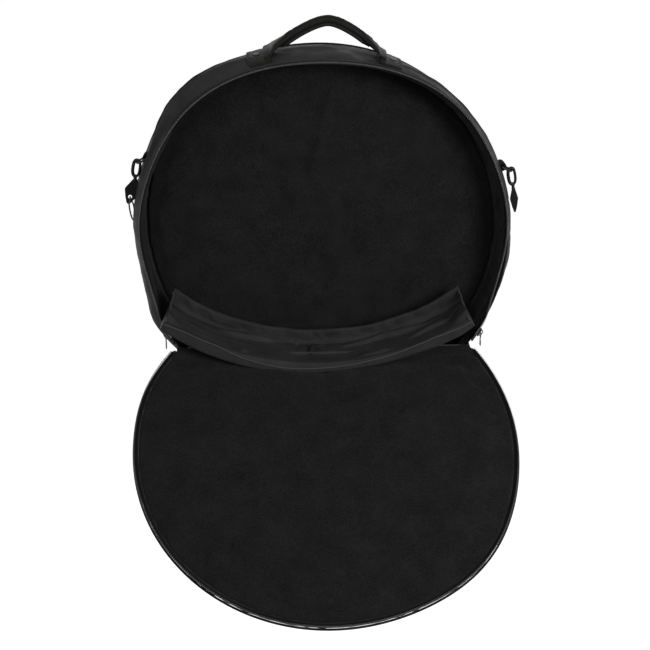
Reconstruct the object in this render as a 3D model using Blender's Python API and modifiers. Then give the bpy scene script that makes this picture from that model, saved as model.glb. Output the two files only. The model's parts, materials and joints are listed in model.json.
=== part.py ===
"""Round padded cymbal bag that hangs by its handle, with its lid unzipped and folded down.

The origin is the underside of the handle's peak, where the bag hangs. X runs across the bag,
Y from its open front to its back, Z up. Lengths are in metres, angles in degrees.
"""
import math

import bmesh
import bpy
from mathutils import Matrix, Vector

COLLECTION = "cymbal_bag"

# Body
RIM_RADIUS = 0.290
BACK_FLARE = 0.002
WALL_BULGE = 0.0045
BODY_DEPTH = 0.102
HANDLE_SETBACK_SHARE = 0.51
FOLD_LENGTH_SHARE = 0.809
SHEET = 0.0015
FLEECE = 0.0012
SIDE_PADDING = 0.007
BACK_PADDING = 0.008
FIT_GAP = 0.0003
SEAT_GAP = 0.0005
OVERRUN = 0.010
WELD_DISTANCE = 0.00001
SHARP_ANGLE = 35.0

# Lid
LID_BORDER_WIDTH = 0.0062
LID_DEPTH = 0.0135
LID_PADDING = 0.007
LID_OPEN_ANGLE = 126.5
LID_FOLD_ROOM = 0.012

# Piping
PIPING_RADIUS = 0.0018
PIPING_INSET = 0.0006
FRONT_PIPING_RADIUS = 0.0014
LID_PIPING_RADIUS = 0.0016

# Zip rows, sliders and pulls
ZIP_INSET = 0.0018
TAPE_WIDTH = 0.0062
TAPE_THICKNESS = 0.001
COIL_WIDTH = 0.0024
COIL_THICKNESS = 0.0024
ROW_GAP = 0.0012
ZIP_END_RISE = 0.008
SLIDER_RISE = 0.022
SLIDER_LENGTH = 0.013
SLIDER_WIDTH = 0.0084
SLIDER_PLATE = 0.0013
SLIDER_NECK = 0.0006
SLIDER_CLEARANCE = 0.0007
BAIL_WIRE_RADIUS = 0.0008
BAIL_HEIGHT = 0.0038
BAIL_LENGTH = 0.0090
PULL_WIDTH = 0.0075
PULL_LENGTH = 0.022
PULL_THICKNESS = 0.0016
PULL_SLOT_WIDTH = 0.0042
PULL_SLOT_LENGTH = 0.0060
PULL_BAR_HEIGHT = 0.0014
END_TAB_WIDTH = 0.008
END_TAB_LENGTH = 0.014
END_TAB_THICKNESS = 0.0012

# Handle
FINGER_GAP = 0.029
GRIP_RADIUS = 0.007
GRIP_POWER = 1.5
GRIP_END_LENGTH = 0.0027
SEAM_RADIUS = 0.0015
FOOT_HALF_SPACING = 0.080
FOOT_RISE = 0.0050
PATCH_LENGTH = 0.0435
PATCH_INNER_LENGTH = 0.006
PATCH_WIDTH_SHARE = 0.706
PATCH_THICKNESS = 0.002
KEEPER_LENGTH = 0.003
KEEPER_THICKNESS = 0.00175
KEEPER_CLEARANCE = 0.0022
RIVET_RADIUS = 0.0045
RIVET_HEIGHT = 0.0022
RIVET_EDGE = 0.0006
RIVET_OUTSET = 0.021

# Strap fittings on the sides
TAB_ANGLE_LEFT = 25.0
TAB_ANGLE_RIGHT = 21.5
TAB_STRIP_LENGTH = 0.052
TAB_WIDTH = 0.022
TAB_THICKNESS = 0.0018
TAB_LOOP_BORE = 0.0023
RING_WIRE_RADIUS = 0.0016
RING_INNER_WIDTH = 0.025
RING_INNER_DEPTH = 0.0155
RING_SHOULDER = 0.006
RING_LEAN = 62.0
CLIP_WIRE_RADIUS = 0.0016
CLIP_WIDTH = 0.016
CLIP_LENGTH = 0.030
CLIP_LEAN = 10.0
SWIVEL_RADIUS = 0.0030
SWIVEL_LENGTH = 0.006
STRAP_TAB_WIDTH_LEFT = 0.017
STRAP_TAB_WIDTH_RIGHT = 0.012
STRAP_TAB_LENGTH = 0.038
STRAP_TAB_THICKNESS = 0.0026
STRAP_TAB_LEAN = 16.0
STRAP_TAB_GAP = 0.0009
LOOP_WIRE_RADIUS = 0.0009
LOOP_WIDTH = 0.012
LOOP_LENGTH = 0.040
LOOP_TURN = 40.0
LOOP_HOLE_RADIUS = 0.0030
LOOP_REST_GAP = 0.0009
LOOP_HOLE_HEIGHT = 0.012

# Cradle, the padded tray that lies over the fold
CRADLE_RADIUS_SHARE = 1.833
CRADLE_SAG_SHARE = 0.0537
CRADLE_SHIFT_SHARE = -0.044
CRADLE_HALF_ANGLE = 32.0
CRADLE_PAD = 0.016
CRADLE_REACH_BACK = 0.048
CRADLE_REACH_FRONT = 0.038
CRADLE_COVER = 0.0012
CRADLE_REAR_HEIGHT = 0.024
CRADLE_REAR_THICKNESS = 0.005
CRADLE_END_HEIGHT = 0.019
CRADLE_END_THICKNESS = 0.004
CRADLE_BINDING_THICKNESS = 0.0015
CRADLE_CORD_RADIUS = 0.0013
SLING = 0.0015
SLING_REACH_BACK = 0.012
SLING_HALF_ANGLE = 21.5

# Apron, the fixed part of the front below the fold
APRON_PADDING = 0.007
APRON_DROP = 0.017

# Counts
RING_STEPS = 60
WALL_POINTS = 5
TAB_POINTS = 3
CORD_SIDES = 6
CUTTER_STEPS = 180
CRADLE_STEPS = 28
SLING_STEPS = 20
PATCH_STEPS = 5
TAB_STEPS = 6
SHORT_STEPS = 4
KEEPER_STEPS = 24
BORE_SIDES = 20
RIVET_SIDES = 16
ROUND_SIDES = 12
RING_BOW_STEPS = 9
LOOP_BOW_STEPS = 6

# Shares of the width and length of a strap tab's half outline, from its top down
STRAP_TAB_SHARES = ((0.30, 0.0), (0.62, 0.12), (1.0, 0.42), (0.62, 0.78), (0.12, 1.0))
# Shares of a pull's half width and length, from its bar down
PULL_SHARES = ((0.80, 0.0), (0.80, 0.30), (0.55, 0.40), (1.0, 0.62), (1.0, 0.93), (0.70, 1.0))
# Shares of a slider arch's length and height, between its sunk ends
BAIL_SHARES = ((-0.5, 0.7), (-0.32, 1.0), (0.32, 1.0), (0.5, 0.7))
# Shares of the way from the grip's peak to its foot
LEG_SHARES = (0.84, 0.68, 0.52, 0.37, 0.24, 0.13, 0.05)
# Shares of the grip's radius at its end and its foot
GRIP_END_SHARES = (0.45, 0.72)

# Places that follow from the sizes
HANDLE_SETBACK = BODY_DEPTH * HANDLE_SETBACK_SHARE
BACK_RADIUS = RIM_RADIUS + BACK_FLARE
ZIP_RADIUS = RIM_RADIUS - ZIP_INSET
FOLD_HALF_LENGTH = RIM_RADIUS * FOLD_LENGTH_SHARE
CRADLE_RADIUS = FOLD_HALF_LENGTH * CRADLE_RADIUS_SHARE
CRADLE_SAG = FOLD_HALF_LENGTH * CRADLE_SAG_SHARE
CRADLE_SHIFT = FOLD_HALF_LENGTH * CRADLE_SHIFT_SHARE
WALL_RADIUS = (RIM_RADIUS + BACK_RADIUS) / 2 + WALL_BULGE
CENTRE_Z = -(FINGER_GAP + WALL_RADIUS)
FRONT_Y = -HANDLE_SETBACK
BACK_Y = BODY_DEPTH - HANDLE_SETBACK
FOLD_DROP = math.sqrt(RIM_RADIUS**2 - FOLD_HALF_LENGTH**2)
FOLD_Z = CENTRE_Z - FOLD_DROP
COIL_FRONT_Y = FRONT_Y + ROW_GAP / 2
TAPE_FRONT_Y = COIL_FRONT_Y + COIL_WIDTH + FIT_GAP
FRONT_PIPING_Y = TAPE_FRONT_Y + TAPE_WIDTH + FIT_GAP + FRONT_PIPING_RADIUS
WALL_FRONT_Y = FRONT_PIPING_Y + FRONT_PIPING_RADIUS + FIT_GAP
BACK_PIPING_Y = BACK_Y - PIPING_INSET - PIPING_RADIUS
WALL_BACK_Y = BACK_PIPING_Y - PIPING_RADIUS - FIT_GAP
BACK_FOAM_Y = BACK_Y - SHEET - FIT_GAP - BACK_PADDING
BACK_LINING_Y = BACK_FOAM_Y - FIT_GAP - FLEECE
BACK_DISC_RADIUS = BACK_RADIUS - PIPING_RADIUS - FIT_GAP
APRON_RADIUS = ZIP_RADIUS - SHEET / 2 - FIT_GAP
FOAM_OFFSET = SHEET + FIT_GAP
LINING_OFFSET = FOAM_OFFSET + SIDE_PADDING + FIT_GAP
CRADLE_Z = FOLD_Z - CRADLE_SAG + CRADLE_RADIUS
CRADLE_BACK_Y = FRONT_Y + CRADLE_REACH_BACK
CRADLE_FRONT_Y = FRONT_Y - CRADLE_REACH_FRONT
SLING_RADIUS = CRADLE_RADIUS + CRADLE_PAD + FIT_GAP
KEEPER_SEAT_RADIUS = WALL_RADIUS + SEAT_GAP + PATCH_THICKNESS + SEAT_GAP
FOOT_Z = CENTRE_Z + math.sqrt((KEEPER_SEAT_RADIUS + FOOT_RISE) ** 2 - FOOT_HALF_SPACING**2)
PEAK_Z = 2 * SEAM_RADIUS + FIT_GAP + GRIP_RADIUS
GRIP_DROP = PEAK_Z - FOOT_Z
PATCH_WIDTH = BODY_DEPTH * PATCH_WIDTH_SHARE

LIE_ALONG_Y = (-math.pi / 2, 0.0, 0.0)
SIDES = (("left", -1), ("right", 1))


# Scene and materials


def clear_scene():
    for obj in list(bpy.data.objects):
        bpy.data.objects.remove(obj, do_unlink=True)


def collection(name):
    made = bpy.data.collections.new(name)
    bpy.context.scene.collection.children.link(made)
    return made


def material(name, colour, roughness, metallic=0.0):
    made = bpy.data.materials.new(name)
    made.use_nodes = True
    shader = made.node_tree.nodes["Principled BSDF"]
    shader.inputs["Base Color"].default_value = (*colour, 1.0)
    shader.inputs["Roughness"].default_value = roughness
    shader.inputs["Metallic"].default_value = metallic
    return made


def leathercloth():
    return material("leathercloth", (0.016, 0.015, 0.015), 0.45)


def padding_foam():
    return material("padding_foam", (0.10, 0.10, 0.10), 0.95)


def fleece():
    return material("fleece", (0.010, 0.010, 0.011), 0.98)


def nylon():
    return material("nylon", (0.016, 0.016, 0.018), 0.55)


def leather():
    return material("leather", (0.012, 0.011, 0.010), 0.50)


def piping_cord():
    return material("piping_cord", (0.013, 0.013, 0.013), 0.40)


def pale_binding():
    return material("pale_binding", (0.20, 0.20, 0.20), 0.60)


def zip_tape():
    return material("zip_tape", (0.012, 0.012, 0.012), 0.85)


def zip_coil():
    return material("zip_coil", (0.16, 0.16, 0.16), 0.45)


def webbing():
    return material("webbing", (0.010, 0.010, 0.010), 0.85)


def black_metal():
    return material("black_metal", (0.020, 0.020, 0.021), 0.30, 1.0)


def bright_metal():
    return material("bright_metal", (0.45, 0.45, 0.45), 0.28, 1.0)


# Making tools


def add(obj, name, finish, parent=None, helper=False):
    """Names an object, files it in its collection and gives it its material."""
    obj.name = name
    obj.data.name = name
    for holder in list(obj.users_collection):
        holder.objects.unlink(obj)
    (CUTTERS if helper else PARTS).objects.link(obj)
    obj.parent = parent
    if helper:
        obj.hide_render = True
        obj.display_type = "WIRE"
    else:
        obj.data.materials.clear()
        obj.data.materials.append(finish())
    return obj


def shade(obj):
    obj.data.shade_smooth()
    obj.data.set_sharp_from_angle(angle=math.radians(SHARP_ANGLE))
    return obj


def mesh_object(name, bm):
    bmesh.ops.recalc_face_normals(bm, faces=bm.faces)
    mesh = bpy.data.meshes.new(name)
    bm.to_mesh(mesh)
    bm.free()
    return bpy.data.objects.new(name, mesh)


def boolean(obj, other, operation="DIFFERENCE"):
    modifier = obj.modifiers.new(other.name, "BOOLEAN")
    modifier.operation = operation
    modifier.object = other
    modifier.solver = "EXACT"


def downward(profile):
    """The profile in the order that Screw needs: down its outer side, up its inner one."""
    area = sum(a[0] * b[1] - b[0] * a[1] for a, b in zip(profile, profile[1:] + profile[:1]))
    return profile[::-1] if area > 0 else profile


def turned(name, profile, finish, centre_z=CENTRE_Z, parent=None):
    """A closed profile of (radius, y) points turned all round an axis along Y."""
    points = downward(profile)
    mesh = bpy.data.meshes.new(name)
    edges = [(i, (i + 1) % len(points)) for i in range(len(points))]
    mesh.from_pydata([(radius, 0.0, y) for radius, y in points], edges, [])
    obj = add(bpy.data.objects.new(name, mesh), name, finish, parent)
    obj.location = (0.0, 0.0, centre_z)
    obj.rotation_euler = LIE_ALONG_Y
    screw = obj.modifiers.new("turn", "SCREW")
    screw.axis = "Z"
    screw.steps = screw.render_steps = RING_STEPS
    screw.use_merge_vertices = True
    screw.merge_threshold = WELD_DISTANCE
    screw.use_smooth_shade = True
    return obj


def arc_object(name, profile, centre, start, end, steps):
    """A closed profile of (radius, y) points swept about an axis along Y, with flat ends."""
    bm = bmesh.new()
    direction = Vector((math.cos(math.radians(start)), 0.0, math.sin(math.radians(start))))
    corners = [bm.verts.new(direction * radius + Vector((0.0, y, 0.0))) for radius, y in profile]
    face = bm.faces.new(corners)
    bmesh.ops.spin(
        bm,
        geom=[face, *face.edges, *face.verts],
        cent=(0.0, 0.0, 0.0),
        axis=(0.0, -1.0, 0.0),
        angle=math.radians(end - start),
        steps=steps,
        use_duplicate=False,
    )
    obj = mesh_object(name, bm)
    obj.location = centre
    return obj


def arc(name, profile, finish, centre, start, end, steps, parent=None):
    return shade(add(arc_object(name, profile, centre, start, end, steps), name, finish, parent))


def disc(name, radius, front_y, back_y, finish, centre_z=CENTRE_Z, parent=None):
    """A flat round sheet whose faces lie at front_y and back_y."""
    bpy.ops.mesh.primitive_cylinder_add(
        vertices=RING_STEPS,
        radius=radius,
        depth=back_y - front_y,
        location=(0.0, (front_y + back_y) / 2, centre_z),
        rotation=LIE_ALONG_Y,
    )
    return add(bpy.context.object, name, finish, parent)


def piping(name, radius, y, thickness, finish, centre_z=CENTRE_Z, parent=None):
    bpy.ops.mesh.primitive_torus_add(
        major_segments=RING_STEPS,
        minor_segments=CORD_SIDES,
        major_radius=radius,
        minor_radius=thickness,
        location=(0.0, y, centre_z),
        rotation=LIE_ALONG_Y,
    )
    return shade(add(bpy.context.object, name, finish, parent))


def tube_object(name, points, radius, cyclic=False, sides=2, shares=None):
    """A wire or cord along the points, with closed ends, its radius given by shares."""
    curve = bpy.data.curves.new(name, "CURVE")
    curve.dimensions = "3D"
    curve.bevel_depth = radius
    curve.bevel_resolution = sides
    curve.use_fill_caps = not cyclic
    spline = curve.splines.new("POLY")
    spline.points.add(len(points) - 1)
    for point, place, share in zip(spline.points, points, shares or [1.0] * len(points)):
        point.co = (*place, 1.0)
        point.radius = share
    spline.use_cyclic_u = cyclic
    return bpy.data.objects.new(name, curve)


def tube(name, points, radius, finish, cyclic=False, sides=2, parent=None):
    return add(tube_object(name, points, radius, cyclic, sides), name, finish, parent)


def as_mesh(obj):
    """A welded mesh copy of a curve object, which the curve then makes way for."""
    holder = bpy.context.scene.collection
    holder.objects.link(obj)
    bpy.context.view_layer.update()
    graph = bpy.context.evaluated_depsgraph_get()
    mesh = bpy.data.meshes.new_from_object(obj.evaluated_get(graph))
    made = bpy.data.objects.new(obj.name, mesh)
    made.matrix_world = obj.matrix_world
    bpy.data.objects.remove(obj, do_unlink=True)
    bm = bmesh.new()
    bm.from_mesh(mesh)
    bmesh.ops.remove_doubles(bm, verts=bm.verts, dist=WELD_DISTANCE)
    bmesh.ops.recalc_face_normals(bm, faces=bm.faces)
    bm.to_mesh(mesh)
    bm.free()
    return made


def plate_object(name, outlines, thickness):
    """A flat plate with the first outline as its edge and the others as holes."""
    curve = bpy.data.curves.new(name, "CURVE")
    curve.dimensions = "2D"
    curve.fill_mode = "BOTH"
    curve.extrude = thickness / 2
    for outline in outlines:
        spline = curve.splines.new("POLY")
        spline.points.add(len(outline) - 1)
        for point, place in zip(spline.points, outline):
            point.co = (*place, 0.0, 1.0)
        spline.use_cyclic_u = True
    return bpy.data.objects.new(name, curve)


def circle(radius, count, centre=(0.0, 0.0)):
    turns = [2 * math.pi * i / count for i in range(count)]
    return [(centre[0] + radius * math.cos(t), centre[1] + radius * math.sin(t)) for t in turns]


def half_turns(count):
    return [math.pi * i / count for i in range(count + 1)]


def mirrored_outline(half):
    """A closed outline from its half at positive X, listed from the top down."""
    return list(half) + [(-x, y) for x, y in reversed(half)]


def box_cutter(name, low_z, high_z, parent=None):
    """A block across the whole bag between two heights."""
    reach = 2 * (BACK_RADIUS + OVERRUN)
    bpy.ops.mesh.primitive_cube_add(size=1.0, location=(0.0, 0.0, (low_z + high_z) / 2))
    cutter = bpy.context.object
    cutter.scale = (reach, reach, high_z - low_z)
    return add(cutter, name, None, parent, helper=True)


def at_angle(radius, angle, y=0.0, centre_z=CENTRE_Z):
    turn = math.radians(angle)
    return Vector((radius * math.cos(turn), y, centre_z + radius * math.sin(turn)))


# The wall's shape


def wall_radius(y):
    """The side wall's outer radius: widest between its front and back edges."""
    share = (y - WALL_FRONT_Y) / (WALL_BACK_Y - WALL_FRONT_Y)
    straight = RIM_RADIUS + (BACK_RADIUS - RIM_RADIUS) * share
    return straight + WALL_BULGE * 4 * share * (1 - share)


def wall_layer(offset, thickness, front_y, back_y, points=WALL_POINTS):
    """A layer of the side, from offset inside the wall's outer face."""
    depths = [front_y + (back_y - front_y) * i / (points - 1) for i in range(points)]
    outer = [(wall_radius(y) - offset, y) for y in depths]
    inner = [(wall_radius(y) - offset - thickness, y) for y in reversed(depths)]
    return outer + inner


def band(inner, outer, front_y, back_y):
    return [(inner, front_y), (outer, front_y), (outer, back_y), (inner, back_y)]


def zip_band(thickness, front_y, back_y):
    return band(ZIP_RADIUS - thickness / 2, ZIP_RADIUS + thickness / 2, front_y, back_y)


# Body


def body_side():
    turned("side_wall", wall_layer(0.0, SHEET, WALL_FRONT_Y, WALL_BACK_Y), leathercloth)
    foam_back = BACK_FOAM_Y - FIT_GAP
    foam = wall_layer(FOAM_OFFSET, SIDE_PADDING, WALL_FRONT_Y, foam_back)
    turned("side_padding", foam, padding_foam)
    lining = wall_layer(LINING_OFFSET, FLEECE, WALL_FRONT_Y, BACK_LINING_Y - FIT_GAP)
    turned("side_lining", lining, fleece)


def body_back():
    disc("back_panel", BACK_DISC_RADIUS, BACK_Y - SHEET, BACK_Y, leathercloth)
    foam_back = BACK_Y - SHEET - FIT_GAP
    disc("back_padding", BACK_DISC_RADIUS, BACK_FOAM_Y, foam_back, padding_foam)
    radius = wall_radius(BACK_LINING_Y + FLEECE) - LINING_OFFSET
    disc("back_lining", radius, BACK_LINING_Y, BACK_LINING_Y + FLEECE, fleece)


def body_piping():
    piping("back_piping", BACK_RADIUS, BACK_PIPING_Y, PIPING_RADIUS, piping_cord)
    radius = RIM_RADIUS - FRONT_PIPING_RADIUS
    piping("front_piping", radius, FRONT_PIPING_Y, FRONT_PIPING_RADIUS, piping_cord)


def body_zip(below_ends, above_fold):
    tape = zip_band(TAPE_THICKNESS, TAPE_FRONT_Y, TAPE_FRONT_Y + TAPE_WIDTH)
    boolean(turned("zip_tape_body", tape, zip_tape), below_ends)
    coil = zip_band(COIL_THICKNESS, COIL_FRONT_Y, COIL_FRONT_Y + COIL_WIDTH)
    boolean(turned("zip_coil_body", coil, zip_coil), below_ends)
    edge = zip_band(SHEET, FRONT_Y + FIT_GAP, TAPE_FRONT_Y + TAPE_WIDTH)
    boolean(turned("lower_edge_band", edge, leathercloth), above_fold)


def apron(above_apron, cradle_room):
    """The fixed lower part of the front: cloth, padding and lining below the fold."""
    front = FRONT_Y + FIT_GAP
    layers = (
        ("apron_panel", SHEET, leathercloth),
        ("apron_padding", APRON_PADDING, padding_foam),
        ("apron_lining", FLEECE, fleece),
    )
    for name, thickness, finish in layers:
        sheet = disc(name, APRON_RADIUS, front, front + thickness, finish)
        boolean(sheet, above_apron)
        boolean(sheet, cradle_room)
        front += thickness + FIT_GAP


def fold_bindings():
    """Strips of cloth behind the ends of the fold, between the apron and the lid."""
    height = APRON_DROP - 2 * FIT_GAP
    sling_end = (SLING_RADIUS + SLING) * math.sin(math.radians(SLING_HALF_ANGLE))
    outer = math.sqrt(APRON_RADIUS**2 - (FOLD_DROP + APRON_DROP) ** 2) - SEAT_GAP
    for side, sign in SIDES:
        inner = sling_end + SEAT_GAP + sign * CRADLE_SHIFT
        length = outer - inner
        bpy.ops.mesh.primitive_cube_add(
            size=1.0,
            location=(
                sign * (inner + length / 2),
                FRONT_Y + FIT_GAP + SHEET / 2,
                FOLD_Z - FIT_GAP - height / 2,
            ),
        )
        strip = bpy.context.object
        strip.data.transform(Matrix.Diagonal((length, SHEET, height, 1.0)))
        add(strip, f"fold_binding_{side}", leathercloth)


def zip_end_tabs():
    inner = ZIP_RADIUS + SHEET / 2 + FIT_GAP
    back = FRONT_PIPING_Y - FRONT_PIPING_RADIUS - FIT_GAP
    profile = band(inner, inner + END_TAB_THICKNESS, back - END_TAB_WIDTH, back)
    spread = math.degrees(END_TAB_LENGTH / ZIP_RADIUS)
    low = -math.degrees(math.asin(FOLD_DROP / ZIP_RADIUS))
    centre = (0.0, 0.0, CENTRE_Z)
    arc("zip_end_tab_right", profile, leather, centre, low, low + spread, SHORT_STEPS)
    arc("zip_end_tab_left", profile, leather, centre, 180 - low - spread, 180 - low, SHORT_STEPS)


# Lid


def lid_frame():
    """An empty on the fold's axis, in whose frame the lid is drawn closed."""
    frame = bpy.data.objects.new("lid_frame", None)
    PARTS.objects.link(frame)
    frame.location = (0.0, FRONT_Y, FOLD_Z)
    frame.rotation_euler = (math.radians(LID_OPEN_ANGLE), 0.0, 0.0)
    return frame


def lid(frame, cradle_room):
    below = box_cutter("below_lid_edge", -RIM_RADIUS, LID_FOLD_ROOM, frame)
    outer_y = -LID_DEPTH
    border_inner = ZIP_RADIUS - LID_BORDER_WIDTH
    sheets = (
        ("lid_panel", border_inner - FIT_GAP, SHEET, leathercloth),
        ("lid_padding", border_inner - FIT_GAP, LID_PADDING, padding_foam),
        ("lid_lining", border_inner, FLEECE, fleece),
    )
    front = outer_y
    for name, radius, thickness, finish in sheets:
        sheet = disc(name, radius, front, front + thickness, finish, FOLD_DROP, frame)
        boolean(sheet, below)
        boolean(sheet, cradle_room)
        front += thickness + FIT_GAP
    lid_edge(frame, below, border_inner)


def lid_edge(frame, below, border_inner):
    """The lid's turned-in border, its piping and its half of the zip."""
    outer_y = -LID_DEPTH
    tape_back = -(ROW_GAP / 2 + COIL_WIDTH + FIT_GAP)
    tape_front = tape_back - TAPE_WIDTH
    wall_outer = ZIP_RADIUS + TAPE_THICKNESS / 2
    border = [
        (border_inner, outer_y),
        (wall_outer, outer_y),
        (wall_outer, tape_front - FIT_GAP),
        (wall_outer - SHEET, tape_front - FIT_GAP),
        (wall_outer - SHEET, outer_y + SHEET),
        (border_inner, outer_y + SHEET),
    ]
    tape = zip_band(TAPE_THICKNESS, tape_front, tape_back)
    coil = zip_band(COIL_THICKNESS, tape_back + FIT_GAP, -ROW_GAP / 2)
    rings = (
        ("lid_border", border, leathercloth),
        ("zip_tape_lid", tape, zip_tape),
        ("zip_coil_lid", coil, zip_coil),
    )
    for name, profile, finish in rings:
        boolean(turned(name, profile, finish, FOLD_DROP, frame), below)
    radius = wall_outer + FIT_GAP + LID_PIPING_RADIUS
    y = outer_y + LID_PIPING_RADIUS
    cord = piping("lid_piping", radius, y, LID_PIPING_RADIUS, piping_cord, FOLD_DROP, frame)
    boolean(cord, below)


# Cradle


def cradle_arc(name, profile, finish, half_angle, steps):
    centre = (CRADLE_SHIFT, 0.0, CRADLE_Z)
    return arc(name, profile, finish, centre, -90 - half_angle, -90 + half_angle, steps)


def cradle():
    top = CRADLE_RADIUS
    under = CRADLE_RADIUS + CRADLE_PAD
    front = CRADLE_FRONT_Y
    back = CRADLE_BACK_Y
    skin = CRADLE_COVER + FIT_GAP
    rear_front = back - CRADLE_REAR_THICKNESS
    liner = [
        (top, front),
        (top + CRADLE_COVER, front),
        (top + CRADLE_COVER, back),
        (top - CRADLE_REAR_HEIGHT, back),
        (top - CRADLE_REAR_HEIGHT, rear_front),
        (top, rear_front),
    ]
    cradle_arc("cradle_liner", liner, nylon, CRADLE_HALF_ANGLE, CRADLE_STEPS)
    foam = band(top + skin, under - skin, front + skin, back)
    cradle_arc("cradle_padding", foam, padding_foam, CRADLE_HALF_ANGLE, CRADLE_STEPS)
    cover = [
        (top + skin, front),
        (under, front),
        (under, back),
        (under - CRADLE_COVER, back),
        (under - CRADLE_COVER, front + CRADLE_COVER),
        (top + skin, front + CRADLE_COVER),
    ]
    cradle_arc("cradle_cover", cover, fleece, CRADLE_HALF_ANGLE, CRADLE_STEPS)
    cradle_edge_cord(front, top)
    cradle_ends(front, rear_front - FIT_GAP, top)


def cradle_edge_cord(front, top):
    """Pale piping along the front edge of the cradle."""
    y = front - CRADLE_CORD_RADIUS - FIT_GAP
    profile = circle(CRADLE_CORD_RADIUS, CORD_SIDES, (top + CRADLE_CORD_RADIUS, y))
    cradle_arc("cradle_piping", profile, pale_binding, CRADLE_HALF_ANGLE, CRADLE_STEPS)


def cradle_ends(front, back, top):
    """Upright end walls, each with a bound top edge."""
    spread = math.degrees(CRADLE_END_THICKNESS / top)
    lip = top - CRADLE_END_HEIGHT
    wall = band(lip, top - FIT_GAP, front, back)
    edge = band(lip - FIT_GAP - CRADLE_BINDING_THICKNESS, lip - FIT_GAP, front, back)
    centre = (CRADLE_SHIFT, 0.0, CRADLE_Z)
    for side, sign in SIDES:
        outer = -90 + sign * CRADLE_HALF_ANGLE
        inner = outer - sign * spread
        low, high = min(inner, outer), max(inner, outer)
        arc(f"cradle_end_{side}", wall, nylon, centre, low, high, 1)
        arc(f"cradle_binding_{side}", edge, pale_binding, centre, low, high, 1)


def sling():
    """The limp cloth of the fold, under the cradle, between the apron and the lid."""
    front = CRADLE_FRONT_Y + CRADLE_COVER
    back = FRONT_Y + SLING_REACH_BACK
    profile = band(SLING_RADIUS, SLING_RADIUS + SLING, front, back)
    cradle_arc("fold_sling", profile, fleece, SLING_HALF_ANGLE, SLING_STEPS)


def cradle_room_cutter():
    bpy.ops.mesh.primitive_cylinder_add(
        vertices=CUTTER_STEPS,
        radius=SLING_RADIUS + SLING + SEAT_GAP,
        depth=4 * BODY_DEPTH,
        location=(CRADLE_SHIFT, FRONT_Y, CRADLE_Z),
        rotation=LIE_ALONG_Y,
    )
    return add(bpy.context.object, "cradle_room", None, helper=True)


# Handle


def grip_height(x):
    """Height of the grip's middle line, which falls from its peak by a power of the way out."""
    return PEAK_Z - GRIP_DROP * (abs(x) / FOOT_HALF_SPACING) ** GRIP_POWER


def grip_slope(x):
    """Rise of the middle line towards positive X."""
    steepest = GRIP_POWER * GRIP_DROP / FOOT_HALF_SPACING
    return -math.copysign(steepest * (abs(x) / FOOT_HALF_SPACING) ** (GRIP_POWER - 1), x)


def grip_line(ends=(), offset=0.0):
    """Points along the grip and on to the ends, offset below its middle line."""
    half = [*ends, *(FOOT_HALF_SPACING * share for share in LEG_SHARES)]
    places = [-x for x in half] + [0.0] + half[::-1]
    points = []
    for x in places:
        normal = Vector((grip_slope(x), 0.0, -1.0)).normalized()
        points.append(Vector((x, 0.0, grip_height(x) - FOOT_Z)) + normal * offset)
    return points


def grip():
    """Rolled leather grip and the sewn seam along its underside, about the feet's axis."""
    frame = bpy.data.objects.new("handle_frame", None)
    PARTS.objects.link(frame)
    frame.location = (0.0, 0.0, FOOT_Z)
    line = grip_line((FOOT_HALF_SPACING + GRIP_END_LENGTH, FOOT_HALF_SPACING))
    inner = [1.0] * (len(line) - 2 * len(GRIP_END_SHARES))
    shares = [*GRIP_END_SHARES, *inner, *reversed(GRIP_END_SHARES)]
    made = tube_object("handle_grip", line, GRIP_RADIUS, sides=4, shares=shares)
    add(made, "handle_grip", leather, frame)
    seam_line = grip_line(offset=GRIP_RADIUS + FIT_GAP + SEAM_RADIUS)
    tube("handle_seam", seam_line, SEAM_RADIUS, leather, sides=1, parent=frame)


def patches():
    """Leather patches under the handle's feet, following the wall's curve."""
    half = PATCH_WIDTH / 2
    profile = wall_layer(-SEAT_GAP - PATCH_THICKNESS, PATCH_THICKNESS, -half, half)
    near = FOOT_HALF_SPACING - PATCH_INNER_LENGTH
    far = near + PATCH_LENGTH
    near_angle = math.degrees(math.acos(near / WALL_RADIUS))
    far_angle = math.degrees(math.acos(far / WALL_RADIUS))
    centre = (0.0, 0.0, CENTRE_Z)
    arc("handle_patch_right", profile, leather, centre, far_angle, near_angle, PATCH_STEPS)
    arc("handle_patch_left", profile, leather, centre, 180 - near_angle, 180 - far_angle, PATCH_STEPS)


def keepers():
    """Leather arches on the patches, under which the grip's ends turn."""
    bpy.ops.mesh.primitive_cylinder_add(
        vertices=CUTTER_STEPS,
        radius=KEEPER_SEAT_RADIUS,
        depth=BODY_DEPTH,
        location=(0.0, 0.0, CENTRE_Z),
        rotation=LIE_ALONG_Y,
    )
    seat = add(bpy.context.object, "keeper_seat", None, helper=True)
    inner = GRIP_RADIUS * GRIP_END_SHARES[1] + KEEPER_CLEARANCE
    outer = inner + KEEPER_THICKNESS
    profile = band(inner, outer, -KEEPER_LENGTH / 2, KEEPER_LENGTH / 2)
    leg_turn = math.atan(-grip_slope(FOOT_HALF_SPACING))
    for side, sign in SIDES:
        ring = turned(f"handle_keeper_{side}", profile, leather)
        screw = ring.modifiers["turn"]
        screw.steps = screw.render_steps = KEEPER_STEPS
        ring.location = (sign * FOOT_HALF_SPACING, 0.0, FOOT_Z)
        ring.rotation_euler = (0.0, math.pi / 2 + sign * leg_turn, 0.0)
        boolean(ring, seat)


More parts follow.
